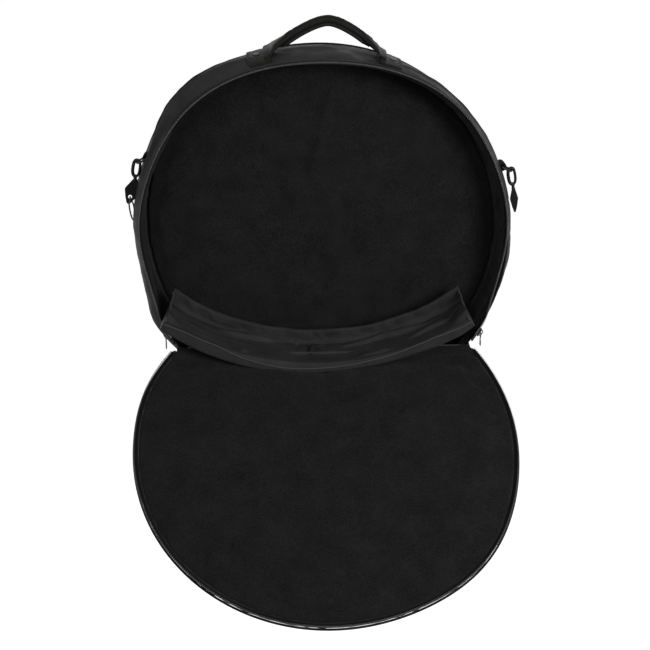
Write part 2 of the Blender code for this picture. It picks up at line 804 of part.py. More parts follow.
def rivets():
    across = FOOT_HALF_SPACING + RIVET_OUTSET
    radius = WALL_RADIUS + 2 * SEAT_GAP + PATCH_THICKNESS + RIVET_HEIGHT / 2
    lean = math.asin(across / radius)
    for side, sign in SIDES:
        bpy.ops.mesh.primitive_cylinder_add(
            vertices=RIVET_SIDES,
            radius=RIVET_RADIUS,
            depth=RIVET_HEIGHT,
            location=(sign * across, 0.0, CENTRE_Z + radius * math.cos(lean)),
            rotation=(0.0, sign * lean, 0.0),
        )
        rivet = add(bpy.context.object, f"handle_rivet_{side}", bright_metal)
        bevel = rivet.modifiers.new("edge", "BEVEL")
        bevel.width = RIVET_EDGE
        bevel.segments = 2
        bevel.limit_method = "ANGLE"
        shade(rivet)


# Strap fittings


def loop_place(sign, angle):
    """Centre of the bore in which a side tab holds its ring."""
    outer = TAB_LOOP_BORE + TAB_THICKNESS
    radius = WALL_RADIUS + SEAT_GAP + outer
    place = at_angle(radius, angle)
    place.x *= sign
    return place


def bore_cylinder(name, place, radius, length):
    bpy.ops.mesh.primitive_cylinder_add(
        vertices=BORE_SIDES, radius=radius, depth=length, location=place, rotation=LIE_ALONG_Y
    )
    return add(bpy.context.object, name, None, helper=True)


def side_tab(side, sign, angle):
    """A strip of webbing sewn to the wall and folded at its top round the ring."""
    half = TAB_WIDTH / 2
    profile = wall_layer(-SEAT_GAP - TAB_THICKNESS, TAB_THICKNESS, -half, half, TAB_POINTS)
    drop = math.degrees(TAB_STRIP_LENGTH / WALL_RADIUS)
    low, high = angle - drop, angle
    if sign < 0:
        low, high = 180 - high, 180 - low
    name = f"side_tab_{side}"
    strip = arc(name, profile, webbing, (0.0, 0.0, CENTRE_Z), low, high, TAB_STEPS)
    place = loop_place(sign, angle)
    roll = bore_cylinder(f"{name}_roll", place, TAB_LOOP_BORE + TAB_THICKNESS, TAB_WIDTH)
    bore = bore_cylinder(f"{name}_bore", place, TAB_LOOP_BORE, TAB_WIDTH + OVERRUN)
    boolean(strip, roll, "UNION")
    boolean(strip, bore)


def ring_points():
    """A D shape with its bar on the Y axis and its bow below."""
    half = RING_INNER_WIDTH / 2 + RING_WIRE_RADIUS
    depth = RING_INNER_DEPTH + 2 * RING_WIRE_RADIUS
    bow = depth - RING_SHOULDER
    turns = half_turns(RING_BOW_STEPS)
    low = [(0.0, half * math.cos(t), -RING_SHOULDER - bow * math.sin(t)) for t in turns]
    return [(0.0, half, 0.0), *low, (0.0, -half, 0.0)]


def clip_points():
    """A long ring round the origin's wire, hanging below it."""
    half = CLIP_WIDTH / 2 - CLIP_WIRE_RADIUS
    top = RING_WIRE_RADIUS + FIT_GAP + CLIP_WIRE_RADIUS
    bottom = top - (CLIP_LENGTH - 2 * CLIP_WIRE_RADIUS)
    turns = half_turns(LOOP_BOW_STEPS)
    upper = [(half * math.cos(t), 0.0, top - half + half * math.sin(t)) for t in turns]
    lower = [(-half * math.cos(t), 0.0, bottom + half - half * math.sin(t)) for t in turns]
    return upper + lower


def clip(side, place, lean):
    """A snap ring with the barrel of its swivel below it."""
    name = f"strap_clip_{side}"
    made = as_mesh(tube_object(name, clip_points(), CLIP_WIRE_RADIUS, cyclic=True))
    add(made, name, black_metal)
    made.location = place
    made.rotation_euler = (0.0, lean, 0.0)
    bpy.ops.mesh.primitive_cylinder_add(
        vertices=ROUND_SIDES,
        radius=SWIVEL_RADIUS,
        depth=SWIVEL_LENGTH,
        location=(0.0, 0.0, clip_foot() + SWIVEL_LENGTH / 2),
    )
    barrel = add(bpy.context.object, f"{name}_barrel", None, made, helper=True)
    boolean(made, barrel, "UNION")
    return shade(made)


def clip_foot():
    """Height of the swivel barrel's lower face under the ring's wire."""
    top = RING_WIRE_RADIUS + FIT_GAP + 2 * CLIP_WIRE_RADIUS
    return top - CLIP_LENGTH + CLIP_WIRE_RADIUS - SWIVEL_LENGTH


def strap_tab(side, sign, width, holes, parent):
    """The pointed leather end of the shoulder strap, on the clip's swivel."""
    half = [(width / 2 * across, -STRAP_TAB_LENGTH * down) for across, down in STRAP_TAB_SHARES]
    outlines = [mirrored_outline(half), *holes]
    made = plate_object(f"strap_tab_{side}", outlines, STRAP_TAB_THICKNESS)
    add(made, f"strap_tab_{side}", leather, parent)
    made.location = (0.0, 0.0, clip_foot() - STRAP_TAB_GAP)
    made.rotation_euler = (math.pi / 2, -sign * math.radians(STRAP_TAB_LEAN), 0.0)


def wire_loop(place):
    """A long wire loop that hangs straight down through the hole in the left tab."""
    half = LOOP_WIDTH / 2 - LOOP_WIRE_RADIUS
    turns = half_turns(LOOP_BOW_STEPS)
    straight = LOOP_LENGTH - LOOP_WIDTH
    top = -(LOOP_HOLE_RADIUS - LOOP_WIRE_RADIUS - LOOP_REST_GAP) - half
    upper = [(0.0, half * math.cos(t), top + half * math.sin(t)) for t in turns]
    lower = [(0.0, -half * math.cos(t), top - straight - half * math.sin(t)) for t in turns]
    made = tube("strap_loop_left", upper + lower, LOOP_WIRE_RADIUS, bright_metal, True, 1)
    made.location = place
    made.rotation_euler = (0.0, 0.0, math.radians(LOOP_TURN))


def hanging(place, lean, length):
    """The point at a length below a place, along a line that leans from straight down."""
    return place + Vector((-length * math.sin(lean), 0.0, -length * math.cos(lean)))


def strap_side(side, sign, angle, tab_width, has_loop):
    side_tab(side, sign, angle)
    place = loop_place(sign, angle)
    ring_lean = -sign * math.radians(RING_LEAN)
    ring = tube(f"d_ring_{side}", ring_points(), RING_WIRE_RADIUS, black_metal, True, 1)
    ring.location = place
    ring.rotation_euler = (0.0, ring_lean, 0.0)
    bow = hanging(place, ring_lean, RING_INNER_DEPTH + 2 * RING_WIRE_RADIUS)
    clip_lean = -sign * math.radians(CLIP_LEAN)
    snap = clip(side, bow, clip_lean)
    if not has_loop:
        strap_tab(side, sign, tab_width, [], snap)
        return
    hole_drop = STRAP_TAB_LENGTH - LOOP_HOLE_HEIGHT
    strap_tab(side, sign, tab_width, [circle(LOOP_HOLE_RADIUS, ROUND_SIDES, (0.0, -hole_drop))], snap)
    foot = hanging(bow, clip_lean, STRAP_TAB_GAP - clip_foot())
    wire_loop(hanging(foot, clip_lean - sign * math.radians(STRAP_TAB_LEAN), hole_drop))


def strap_fittings():
    strap_side("left", -1, TAB_ANGLE_LEFT, STRAP_TAB_WIDTH_LEFT, True)
    strap_side("right", 1, TAB_ANGLE_RIGHT, STRAP_TAB_WIDTH_RIGHT, False)


# Zip sliders


def slider_profile():
    """An H section: two plates round the rows of coil and a neck between them."""
    inner = COIL_THICKNESS / 2 + SLIDER_CLEARANCE
    outer = inner + SLIDER_PLATE
    wide = SLIDER_WIDTH / 2
    neck = SLIDER_NECK / 2
    quarter = [(neck, 0.0), (inner, neck), (inner, wide), (outer, wide)]
    upper = [(radius, y) for radius, y in quarter[1:]]
    right = upper + [(radius, -y) for radius, y in reversed(upper)]
    whole = right + [(-radius, -y) for radius, y in right]
    return [(ZIP_RADIUS + radius, FRONT_Y + y) for radius, y in whole]


def slider_angle():
    return -math.degrees(math.asin((FOLD_DROP - SLIDER_RISE) / ZIP_RADIUS))


def bail_points(angle):
    """The arch on a slider's outer plate, from one end of it to the other."""
    plate = ZIP_RADIUS + COIL_THICKNESS / 2 + SLIDER_CLEARANCE + SLIDER_PLATE
    spread = math.degrees(BAIL_LENGTH / plate)
    arch = [(spread * along, BAIL_HEIGHT * up) for along, up in BAIL_SHARES]
    first, last = arch[0][0], arch[-1][0]
    sunk = -SLIDER_PLATE / 2
    whole = [(first, sunk), *arch, (last, sunk)]
    return [at_angle(plate + rise, angle + turn, FRONT_Y, 0.0) for turn, rise in whole]


def sliders():
    for side, sign in SIDES:
        angle = slider_angle() if sign > 0 else 180 - slider_angle()
        spread = math.degrees(SLIDER_LENGTH / ZIP_RADIUS) / 2
        centre = (0.0, 0.0, CENTRE_Z)
        name = f"zip_slider_{side}"
        low, high = angle - spread, angle + spread
        body = arc(name, slider_profile(), bright_metal, centre, low, high, SHORT_STEPS)
        bail = as_mesh(tube_object(f"{name}_bail", bail_points(angle), BAIL_WIRE_RADIUS, sides=1))
        add(bail, f"{name}_bail", None, body, helper=True)
        boolean(body, bail, "UNION")
        plate = ZIP_RADIUS + COIL_THICKNESS / 2 + SLIDER_CLEARANCE + SLIDER_PLATE
        zip_pull(side, at_angle(plate + PULL_BAR_HEIGHT, angle, FRONT_Y))


def zip_pull(side, place):
    """A stamped pull that hangs from its bar under the slider's arch."""
    bar = PULL_THICKNESS / 2
    half = [(PULL_WIDTH / 2 * across, bar - PULL_LENGTH * down) for across, down in PULL_SHARES]
    slot_half = PULL_SLOT_WIDTH / 2
    slot = [
        (slot_half, -bar),
        (slot_half, -bar - PULL_SLOT_LENGTH),
        (-slot_half, -bar - PULL_SLOT_LENGTH),
        (-slot_half, -bar),
    ]
    made = plate_object(f"zip_pull_{side}", [mirrored_outline(half), slot], PULL_THICKNESS)
    add(made, f"zip_pull_{side}", bright_metal)
    made.location = place
    made.rotation_euler = (math.pi / 2, 0.0, math.pi / 2)


def build():
    high = RIM_RADIUS + OVERRUN
    below_ends = box_cutter("below_zip_ends", CENTRE_Z - high, FOLD_Z + ZIP_END_RISE)
    above_fold = box_cutter("above_fold", FOLD_Z - FIT_GAP, CENTRE_Z + high)
    above_apron = box_cutter("above_apron", FOLD_Z - APRON_DROP, CENTRE_Z + high)
    cradle_room = cradle_room_cutter()
    body_side()
    body_back()
    body_piping()
    body_zip(below_ends, above_fold)
    apron(above_apron, cradle_room)
    fold_bindings()
    zip_end_tabs()
    lid(lid_frame(), cradle_room)
    cradle()
    sling()
    grip()
    patches()
    keepers()
    rivets()
    strap_fittings()
    sliders()


clear_scene()
PARTS = collection(COLLECTION)
CUTTERS = collection("cutters")
build()
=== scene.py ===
"""Looks of the round padded cymbal bag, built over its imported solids.

World axes are the row frame's: X across the bag, Y from its open front to its back, Z up, in metres.
A turn is an angle about the bag's middle, in degrees, anticlockwise from +X seen from the front.
"""

import json
import math

import bmesh
import bpy
import numpy as np
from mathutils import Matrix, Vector


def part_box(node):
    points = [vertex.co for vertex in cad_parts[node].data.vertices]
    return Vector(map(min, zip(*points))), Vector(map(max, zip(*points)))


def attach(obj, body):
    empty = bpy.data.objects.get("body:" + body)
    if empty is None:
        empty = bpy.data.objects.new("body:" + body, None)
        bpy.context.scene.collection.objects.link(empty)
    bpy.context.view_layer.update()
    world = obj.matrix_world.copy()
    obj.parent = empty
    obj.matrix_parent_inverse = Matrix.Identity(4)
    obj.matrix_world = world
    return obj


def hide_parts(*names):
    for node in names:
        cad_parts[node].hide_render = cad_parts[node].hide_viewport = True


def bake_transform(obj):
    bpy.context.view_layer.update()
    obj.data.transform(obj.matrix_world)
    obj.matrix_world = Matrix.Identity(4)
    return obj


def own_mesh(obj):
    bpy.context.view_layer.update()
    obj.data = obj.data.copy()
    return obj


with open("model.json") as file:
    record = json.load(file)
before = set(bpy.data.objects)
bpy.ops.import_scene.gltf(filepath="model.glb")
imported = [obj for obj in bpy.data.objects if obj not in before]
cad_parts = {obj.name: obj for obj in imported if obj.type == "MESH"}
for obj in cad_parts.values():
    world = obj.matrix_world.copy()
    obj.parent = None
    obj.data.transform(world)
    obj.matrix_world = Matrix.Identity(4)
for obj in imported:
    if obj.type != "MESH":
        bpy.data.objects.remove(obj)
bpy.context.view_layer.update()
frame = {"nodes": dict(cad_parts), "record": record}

bl_info = {
    "name": "Cymbal bag",
    "version": (1, 0, 0),
    "blender": (4, 5, 0),
    "location": "3D View > Sidebar > Bag",
    "description": "Dresses the solids of a hanging, opened cymbal bag",
    "category": "Add Mesh",
}

TAU = 2 * math.pi
SIDES = (("left", -1), ("right", 1))
ALONG_Y = np.array([0, 1.0, 0])

# The body: its middle, its rim, its wall and the fold below it
CENTRE_Z = -0.3245
FRONT_Y = -0.05202
FOLD_Z = -0.49496
WALL_FRONT_Y = -0.03912
WALL_BACK_Y = 0.04548
WALL_DEPTH = WALL_BACK_Y - WALL_FRONT_Y
LINING_Y = 0.03868
RIM_RADIUS = 0.2895
BACK_RADIUS = 0.2915
BACK_PANEL_RADIUS = 0.2899
BACK_LINING_RADIUS = 0.2802
FITTING_RADIUS = 0.2955
ZIP_RADIUS = 0.2882
ZIP_ENDS = (-34.2, 214.2)
CLOTH = 0.0014
WALL_MAP = 0.085

# The lid, in its own frame when closed: its X axis is the fold and its middle stands above it
OPEN_ANGLE = 126.5
FOLD_DROP = 0.17046
LID_GROWTH = 0.0030
LID_LINING_RADIUS = 0.2838 + LID_GROWTH
LID_CLOTH_RADIUS = 0.2880 + LID_GROWTH
LID_MIDDLE = FOLD_DROP - 0.04

# The cradle: a tray bent round a middle of its own
CRADLE_X = -0.01032
CRADLE_Z = -0.07752
CRADLE_RADIUS = 0.43004
CRADLE_PAD = 0.016
CRADLE_LIP = 0.0240
CRADLE_FRONT_Y = -0.09002
CRADLE_BACK_Y = -0.00402
CRADLE_HALF = 32.0

# The handle and its patches
PEAK_Z = 0.0103
PEAK_ROUND = 0.009
PEAK_LEAN = 0.0035
GRIP_DROP = 1.98
GRIP_RADIUS = 0.0066
HANDLE_SHIFT = np.array([0.0040, 0, 0])
PATCH_RISE = 0.0007
PATCH_THICKNESS = 0.0021
PATCH_HALF = (0.0188, 0.0362)

# How the linings are settled: distance between the cloth's points and the furthest that one moves
QUILT_GRAIN = 0.0048
QUILT_REACH = 0.006

# Where the strap fittings are jointed, from the record
JOINT_PLACES = {"left": {}, "right": {}}
for joint in frame["record"]["behaviour"]["joints"]:
    family, _, side = joint["child"].rpartition("_")
    if side in JOINT_PLACES:
        JOINT_PLACES[side][family] = np.array(joint["pos_m"])


# Arrays


def hump(turn, centre, width):
    """A bell in the angle round the ring: e to the minus square of the distance over the width."""
    away = (turn - centre + 180) % 360 - 180
    return np.exp(-((away / width) ** 2))


def step(low, high, x):
    """Smooth step: 3 s squared minus 2 s cubed, where s runs from 0 at low to 1 at high."""
    s = np.clip((x - low) / (high - low), 0, 1)
    return s * s * (3 - 2 * s)


def noise(u, v, seed, octaves=3):
    """Value noise: a seeded lattice blended by smooth steps, each octave twice as fine and half as high."""
    n, total = 64, np.zeros(np.broadcast(u, v).shape)
    for octave in range(octaves):
        grid = np.random.default_rng(seed + octave).uniform(-1, 1, (n, n))
        x, y = np.asarray(u) * 2**octave, np.asarray(v) * 2**octave
        i, j = np.floor(x).astype(int), np.floor(y).astype(int)
        a, b = step(0, 1, x - i), step(0, 1, y - j)
        low = grid[i % n, j % n] * (1 - a) + grid[(i + 1) % n, j % n] * a
        high = grid[i % n, (j + 1) % n] * (1 - a) + grid[(i + 1) % n, (j + 1) % n] * a
        total += (low * (1 - b) + high * b) / 2**octave
    return total


def crease(x, z, line, width, height):
    """A ridge along a broken line: height times e to the minus square of the distance over the width,
    which fades towards both ends as a sine."""
    points = np.asarray(line, float)
    lengths = np.linalg.norm(np.diff(points, axis=0), axis=1)
    whole, done = lengths.sum(), 0.0
    best = np.full(np.shape(x), 1e9)
    share = np.zeros(np.shape(x))
    for (ax, az), (bx, bz), length in zip(points[:-1], points[1:], lengths):
        along = np.clip(((x - ax) * (bx - ax) + (z - az) * (bz - az)) / length**2, 0, 1)
        away = np.hypot(x - ax - along * (bx - ax), z - az - along * (bz - az))
        nearer = away < best
        best = np.where(nearer, away, best)
        share = np.where(nearer, (done + along * length) / whole, share)
        done += length
    taper = np.sin(np.pi * np.clip(share, 0.03, 0.97))
    return height * taper * np.exp(-((best / width) ** 2))


def creases(x, z, table):
    """The sum of a table's creases, each a line of places with its width and height."""
    return sum(crease(x, z, *row) for row in table)


def unit(vectors):
    """The vectors at length 1."""
    return vectors / np.linalg.norm(vectors, axis=-1)[..., None]


def pairs(u, v):
    """A map or a grid of two values that vary along different axes."""
    return np.stack(np.broadcast_arrays(u, v), -1)


def squircle(turn, power):
    """Radius of |cos| and |sin| to a power, adding up to 1: 2 is a circle, more is squarer."""
    return (np.abs(np.cos(turn)) ** power + np.abs(np.sin(turn)) ** power) ** (-1 / power)


def polar(radius, turn, y, middle=CENTRE_Z):
    """Points at a radius and a turn about the bag's or the lid's middle, at depth y."""
    t = np.radians(turn)
    return np.stack(np.broadcast_arrays(radius * np.cos(t), y, middle + radius * np.sin(t)), -1)


def wall_out(points):
    """Unit directions away from the bag's middle."""
    out = points - np.array([0, 0, CENTRE_Z])
    out[..., 1] = 0
    return unit(out)


def frames(path, up=(0.0, 1.0, 0.0)):
    """Unit tangent, side and normal at each point of a path, the side kept level with up."""
    tangent = unit(np.gradient(path, axis=0))
    side = unit(np.asarray(up) - (tangent @ np.asarray(up))[:, None] * tangent)
    return tangent, side, np.cross(tangent, side)


def resample(path, count, closed=False):
    """The same line with count points at equal distances."""
    path = np.asarray(path, float)
    line = np.vstack([path, path[:1]]) if closed else path
    lengths = np.concatenate([[0], np.cumsum(np.linalg.norm(np.diff(line, axis=0), axis=1))])
    places = np.linspace(0, lengths[-1], count + 1)[:-1] if closed else np.linspace(0, lengths[-1], count)
    return np.stack([np.interp(places, lengths, line[:, k]) for k in range(line.shape[1])], -1)


def soften(line):
    """Rounds a line's corners: each inner point moves to the mean of itself, twice, and its neighbours."""
    line[1:-1] = 0.25 * line[:-2] + 0.5 * line[1:-1] + 0.25 * line[2:]


def on_plane(place, across, down, local, normal, rise):
    """Puts local (x, y) places on a plane, and lifts them off it."""
    return place + local[..., :1] * across + local[..., 1:] * down + rise * normal


# Meshes


def mesh_object(name, points, finish, loops, starts, uv=None):
    """A smooth mesh from points, the corners of its faces and where each face starts in them.
    Coincident points, as at poles, are merged, and all faces are turned outwards."""
    mesh = bpy.data.meshes.new(name)
    mesh.vertices.add(points.size // 3)
    mesh.vertices.foreach_set("co", points.astype(np.float32).ravel())
    mesh.loops.add(len(loops))
    mesh.loops.foreach_set("vertex_index", loops.astype(np.int32))
    mesh.polygons.add(len(starts))
    mesh.polygons.foreach_set("loop_start", starts.astype(np.int32))
    mesh.update(calc_edges=True)
    if uv is not None:
        layer = mesh.uv_layers.new(name="UVMap")
        layer.data.foreach_set("uv", np.asarray(uv, np.float32).reshape(-1, 2)[loops].ravel())
    obj = bpy.data.objects.new(name, mesh)
    bpy.context.scene.collection.objects.link(obj)
    bm = bmesh.new()
    bm.from_mesh(mesh)
    bmesh.ops.remove_doubles(bm, verts=bm.verts, dist=1e-6)
    bmesh.ops.dissolve_degenerate(bm, edges=bm.edges, dist=1e-7)
    bmesh.ops.recalc_face_normals(bm, faces=bm.faces)
    bm.to_mesh(mesh)
    bm.free()
    smooth(mesh)
    dress(obj, [finish])
    return obj


def smooth(mesh):
    """Shades every face smoothly."""
    mesh.polygons.foreach_set("use_smooth", np.full(len(mesh.polygons), True))


def grid_object(name, points, finish, wrap_u=False, wrap_v=False, uv=None, cap_u=False):
    """A mesh over a grid of points, u along its first axis and v along its second."""
    nu, nv = points.shape[:2]
    index = np.arange(nu * nv).reshape(nu, nv)
    if wrap_u:
        index = np.vstack([index, index[:1]])
    if wrap_v:
        index = np.hstack([index, index[:, :1]])
    quads = np.stack([index[:-1, :-1], index[1:, :-1], index[1:, 1:], index[:-1, 1:]], -1).reshape(-1, 4)
    loops, starts = quads.ravel(), np.arange(len(quads)) * 4
    if cap_u:
        loops = np.concatenate([loops, index[0, :nv][::-1], index[nu - 1, :nv]])
        starts = np.concatenate([starts, [4 * len(quads), 4 * len(quads) + nv]])
    return mesh_object(name, points, finish, loops, starts, uv)


def dress(obj, finishes, place=None):
    """Gives the finishes: where place says 1, from each face's centre, it is the second."""
    obj.data.materials.clear()
    for made in finishes:
        obj.data.materials.append(made)
    if place is not None:
        centre = np.empty(len(obj.data.polygons) * 3)
        obj.data.polygons.foreach_get("center", centre)
        obj.data.polygons.foreach_set("material_index", place(centre.reshape(-1, 3)).astype(np.int32))


def corners(mesh):
    """The mesh's points as rows."""
    points = np.empty(len(mesh.vertices) * 3)
    mesh.vertices.foreach_get("co", points)
    return points.reshape(-1, 3)


def tube(name, path, radius, finish, closed=False, sides=10, up=(0.0, 1.0, 0.0), flat=1.0):
    """A round or oval section carried along a path: radius at the ends falls to a rounded cap."""
    path = np.asarray(path, float)
    if closed:
        around = np.vstack([path[-1:], path, path[:1]])
        tangent, side, normal = (a[1:-1] for a in frames(around, up))
    else:
        tangent, side, normal = frames(path, up)
    radius = np.broadcast_to(radius, len(path)).astype(float)
    turn = np.linspace(0, TAU, sides, endpoint=False)
    ring = np.cos(turn)[None, :, None] * side[:, None] + flat * np.sin(turn)[None, :, None] * normal[:, None]
    points = path[:, None] + radius[:, None, None] * ring
    length = np.concatenate([[0], np.cumsum(np.linalg.norm(np.diff(path, axis=0), axis=1))])
    uv = pairs(length[:, None], turn[None, :] * radius.mean())
    if not closed:
        end = path[-1] + tangent[-1] * radius[-1] * 0.5
        start = path[0] - tangent[0] * radius[0] * 0.5
        first = start + (points[:1] - path[0]) * 0.6
        last = end + (points[-1:] - path[-1]) * 0.6
        start, end = (np.broadcast_to(tip, first.shape) for tip in (start, end))
        points = np.concatenate([start, first, points, last, end])
        uv = np.concatenate([uv[:1], uv[:1], uv, uv[-1:], uv[-1:]])
    return grid_object(name, points, finish, wrap_u=closed, wrap_v=True, uv=uv)


def pad(name, outline, place, thickness, finish, edge=0.002, across=120, rings=24, rounds=5):
    """A closed pad over a star shaped outline: outline(angle) is its radius, and place(x, z, h) puts a
    point at local x and z and height h. Its faces lie at 0 and thickness, joined by a rounded edge."""
    angle = np.linspace(0, TAU, across, endpoint=False)
    reach = outline(angle)
    arc = np.linspace(0, math.pi, 2 * rounds + 1)
    flat = np.ones(rings - 1)
    top = (np.linspace(0, 1, rings) ** 0.8)[:-1]
    shares = np.concatenate([top, np.ones(len(arc)), top[::-1]])[:, None]
    insets = np.concatenate([edge * flat, edge * (1 - np.sin(arc)), edge * flat])[:, None]
    heights = np.concatenate([thickness * flat, thickness / 2 * (1 + np.cos(arc)), 0 * flat])[:, None]
    radius = shares * reach - insets * np.minimum(shares, 1)
    x, z = radius * np.cos(angle), radius * np.sin(angle)
    points = place(x, z, np.broadcast_to(heights, x.shape))
    return grid_object(name, points, finish, wrap_v=True, uv=np.stack([x, z], -1))


def rounded(half_x, half_z, power=6.0):
    """The outline of a rounded rectangle: |x/a| and |z/b| to a power add up to 1."""
    return lambda angle: (
        np.abs(np.cos(angle) / half_x) ** power + np.abs(np.sin(angle) / half_z) ** power
    ) ** (-1 / power)


def cut_circle(radius, middle, low, centre, power, spread=lambda turn: 0):
    """The outline, from a point within it, of a circle about centre that is cut off at a low line, as
    two radii joined by a high power so that the corners round."""
    up = centre - middle

    def reach(angle):
        c, s = np.cos(angle), np.sin(angle)
        arc = up * s + np.sqrt(radius**2 - (up * c) ** 2)
        arc = arc + spread(np.degrees(np.arctan2(arc * s - up, arc * c)))
        towards = (low - middle) * s > 1e-6 * abs(low - middle)
        flat = np.where(towards, (low - middle) / np.where(towards, s, 1), 1e9)
        return (arc**-power + np.maximum(flat, 1e-3) ** -power) ** (-1 / power)

    return reach


def band(name, profile, turns, finish, radius_of):
    """A closed section of (radius, y) points carried round the bag's middle through the turns."""
    points = np.asarray(profile, float)
    around = np.linalg.norm(np.diff(points, axis=0), axis=1)
    lengths = np.concatenate([[0], np.cumsum(around)])
    turn = turns[:, None]
    place = polar(points[None, :, 0] + radius_of(turn), turn, points[None, :, 1])
    uv = pairs(np.radians(turn) * ZIP_RADIUS, lengths[None, :])
    return grid_object(name, place, finish, wrap_v=True, uv=uv, cap_u=True)


def stitches(name, path, outward, pitch=0.0032, length=0.0023, width=0.00042, lift=0.00025):
    """Short raised threads along a path: each is a slim six sided spindle of four rings, lifted at its
    middle."""
    count = max(2, int(np.linalg.norm(np.diff(path, axis=0), axis=1).sum() / pitch))
    fine = resample(path, count)
    out = resample(outward, count)
    tangent = unit(np.gradient(fine, axis=0))
    side = unit(np.cross(tangent, out))
    rings, sides = 4, 6
    along = np.array([-0.5, -0.28, 0.28, 0.5])[:, None, None] * length
    thick = np.array([0.35, 1.0, 1.0, 0.35])[:, None, None] * width
    rise = np.array([-0.1, 1.0, 1.0, -0.1])[:, None, None] * lift
    turn = np.linspace(0, TAU, sides, endpoint=False)[:, None]
    fine, out, tangent, side = (v[:, None, None] for v in (fine, out, tangent, side))
    ring = np.cos(turn) * side * thick + np.sin(turn) * out * thick
    points = fine + along * tangent + rise * out + ring
    s, k = np.meshgrid(np.arange(rings - 1), np.arange(sides), indexing="ij")
    a, b = s * sides + k, s * sides + (k + 1) % sides
    base = (np.arange(count) * rings * sides)[:, None]
    quads = base + np.stack([a, b, b + sides, a + sides], -1).reshape(1, -1)
    ends = np.concatenate([base + np.arange(sides)[::-1], base + (rings - 1) * sides + np.arange(sides)])
    loops = np.concatenate([quads.ravel(), ends.ravel()])
    starts = np.concatenate([np.arange(quads.size // 4) * 4, quads.size + np.arange(len(ends)) * sides])
    return mesh_object(name, points, get("thread"), loops, starts)


def join(name, *pieces):
    """One object from several that share a finish."""
    bm = bmesh.new()
    for piece in pieces:
        bm.from_mesh(piece.data)
    keep = pieces[0]
    bm.to_mesh(keep.data)
    bm.free()
    for piece in pieces[1:]:
        bpy.data.objects.remove(piece, do_unlink=True)
    keep.name = keep.data.name = name
    return keep


def settle(obj, held, sizes):
    """Padded cloth: the closed body is remeshed, its cloth is cut a little larger than its shape, and a
    cloth simulation with pressure and no gravity lets it buckle. held(points) is 1 where it is sewn
    down."""
    finishes = list(obj.data.materials)
    remesh = obj.modifiers.new("remesh", "REMESH")
    remesh.mode = "VOXEL"
    remesh.voxel_size = QUILT_GRAIN
    bpy.context.view_layer.update()
    graph = bpy.context.evaluated_depsgraph_get()
    mesh = bpy.data.meshes.new_from_object(obj.evaluated_get(graph))
    obj.modifiers.clear()
    obj.data = mesh
    rest = corners(mesh)
    pin(obj, held(rest))
    moved = corners(blown(obj, sizes))
    obj.modifiers.clear()
    obj.vertex_groups.clear()
    shift = moved - rest
    far = np.linalg.norm(shift, axis=1)[:, None]
    shift *= np.minimum(1, QUILT_REACH / np.maximum(far, 1e-9))
    shift[~np.isfinite(shift)] = 0
    mesh.vertices.foreach_set("co", np.asarray(rest + shift, np.float32).ravel())
    mesh.update()
    smooth(mesh)
    smoother = obj.modifiers.new("smooth", "SUBSURF")
    smoother.levels = smoother.render_levels = 1
    dress(obj, finishes)


def pin(obj, weight):
    """Sews the points down in four grades of weight."""
    group = obj.vertex_groups.new(name="sewn")
    for level in (0.15, 0.4, 0.7, 1.0):
        top = level + (0.15 if level < 1 else 1)
        inside = np.nonzero((weight > level - 0.15) & (weight <= top))[0]
        if len(inside):
            group.add(inside.tolist(), level, "REPLACE")


def blown(obj, sizes, moments=20):
    """The mesh after the cloth simulation's last moment."""
    cloth = obj.modifiers.new("cloth", "CLOTH")
    settings = cloth.settings
    settings.quality = 4
    settings.mass = 0.3
    settings.tension_stiffness = settings.compression_stiffness = 12
    settings.shear_stiffness = 4
    settings.bending_stiffness = 0.6
    settings.use_pressure = True
    settings.uniform_pressure_force = sizes.puff
    settings.shrink_min = -sizes.slack
    settings.effector_weights.gravity = 0
    settings.vertex_group_mass = "sewn"
    settings.pin_stiffness = 4
    cloth.point_cache.frame_start = 1
    cloth.point_cache.frame_end = moments
    for moment in range(1, moments + 1):
        bpy.context.scene.frame_set(moment)
    graph = bpy.context.evaluated_depsgraph_get()
    made = bpy.data.meshes.new_from_object(obj.evaluated_get(graph))
    bpy.context.scene.frame_set(1)
    return made


# Finishes


def finish(name, colour, roughness, metallic=0.0, **constants):
    """A material with its Principled shader's constants set."""
    made = bpy.data.materials.new(name)
    made.use_nodes = True
    shader = made.node_tree.nodes["Principled BSDF"]
    shader.inputs["Base Color"].default_value = (*colour, 1)
    shader.inputs["Roughness"].default_value = roughness
    shader.inputs["Metallic"].default_value = metallic
    for key, value in constants.items():
        shader.inputs[key.replace("_", " ")].default_value = value
    return made, made.node_tree, shader


def add_node(tree, kind, links=(), **values):
    """A node with its sockets set to values, or joined to the outputs in links."""
    made = tree.nodes.new(kind)
    for key, value in values.items():
        made.inputs[key].default_value = value
    for socket, source in links:
        tree.links.new(source, made.inputs[socket])
    return made


def coordinates(tree, kind="Object"):
    """The object's own coordinates, or its map's, through a mapping node."""
    source = tree.nodes.new("ShaderNodeTexCoord")
    return add_node(tree, "ShaderNodeMapping", [("Vector", source.outputs[kind])]).outputs["Vector"]


def noise_node(tree, vector, scale, detail=3.0, roughness=0.5):
    """Noise from 0 to 1."""
    made = add_node(
        tree, "ShaderNodeTexNoise", [("Vector", vector)], Scale=scale, Detail=detail, Roughness=roughness
    )
    return made.outputs["Fac"]


def cell_node(tree, vector, scale):
    """Rounded cells: the distance to the nearest one's middle."""
    made = add_node(tree, "ShaderNodeTexVoronoi", [("Vector", vector)], Scale=scale)
    made.feature = "SMOOTH_F1"
    return made.outputs["Distance"]


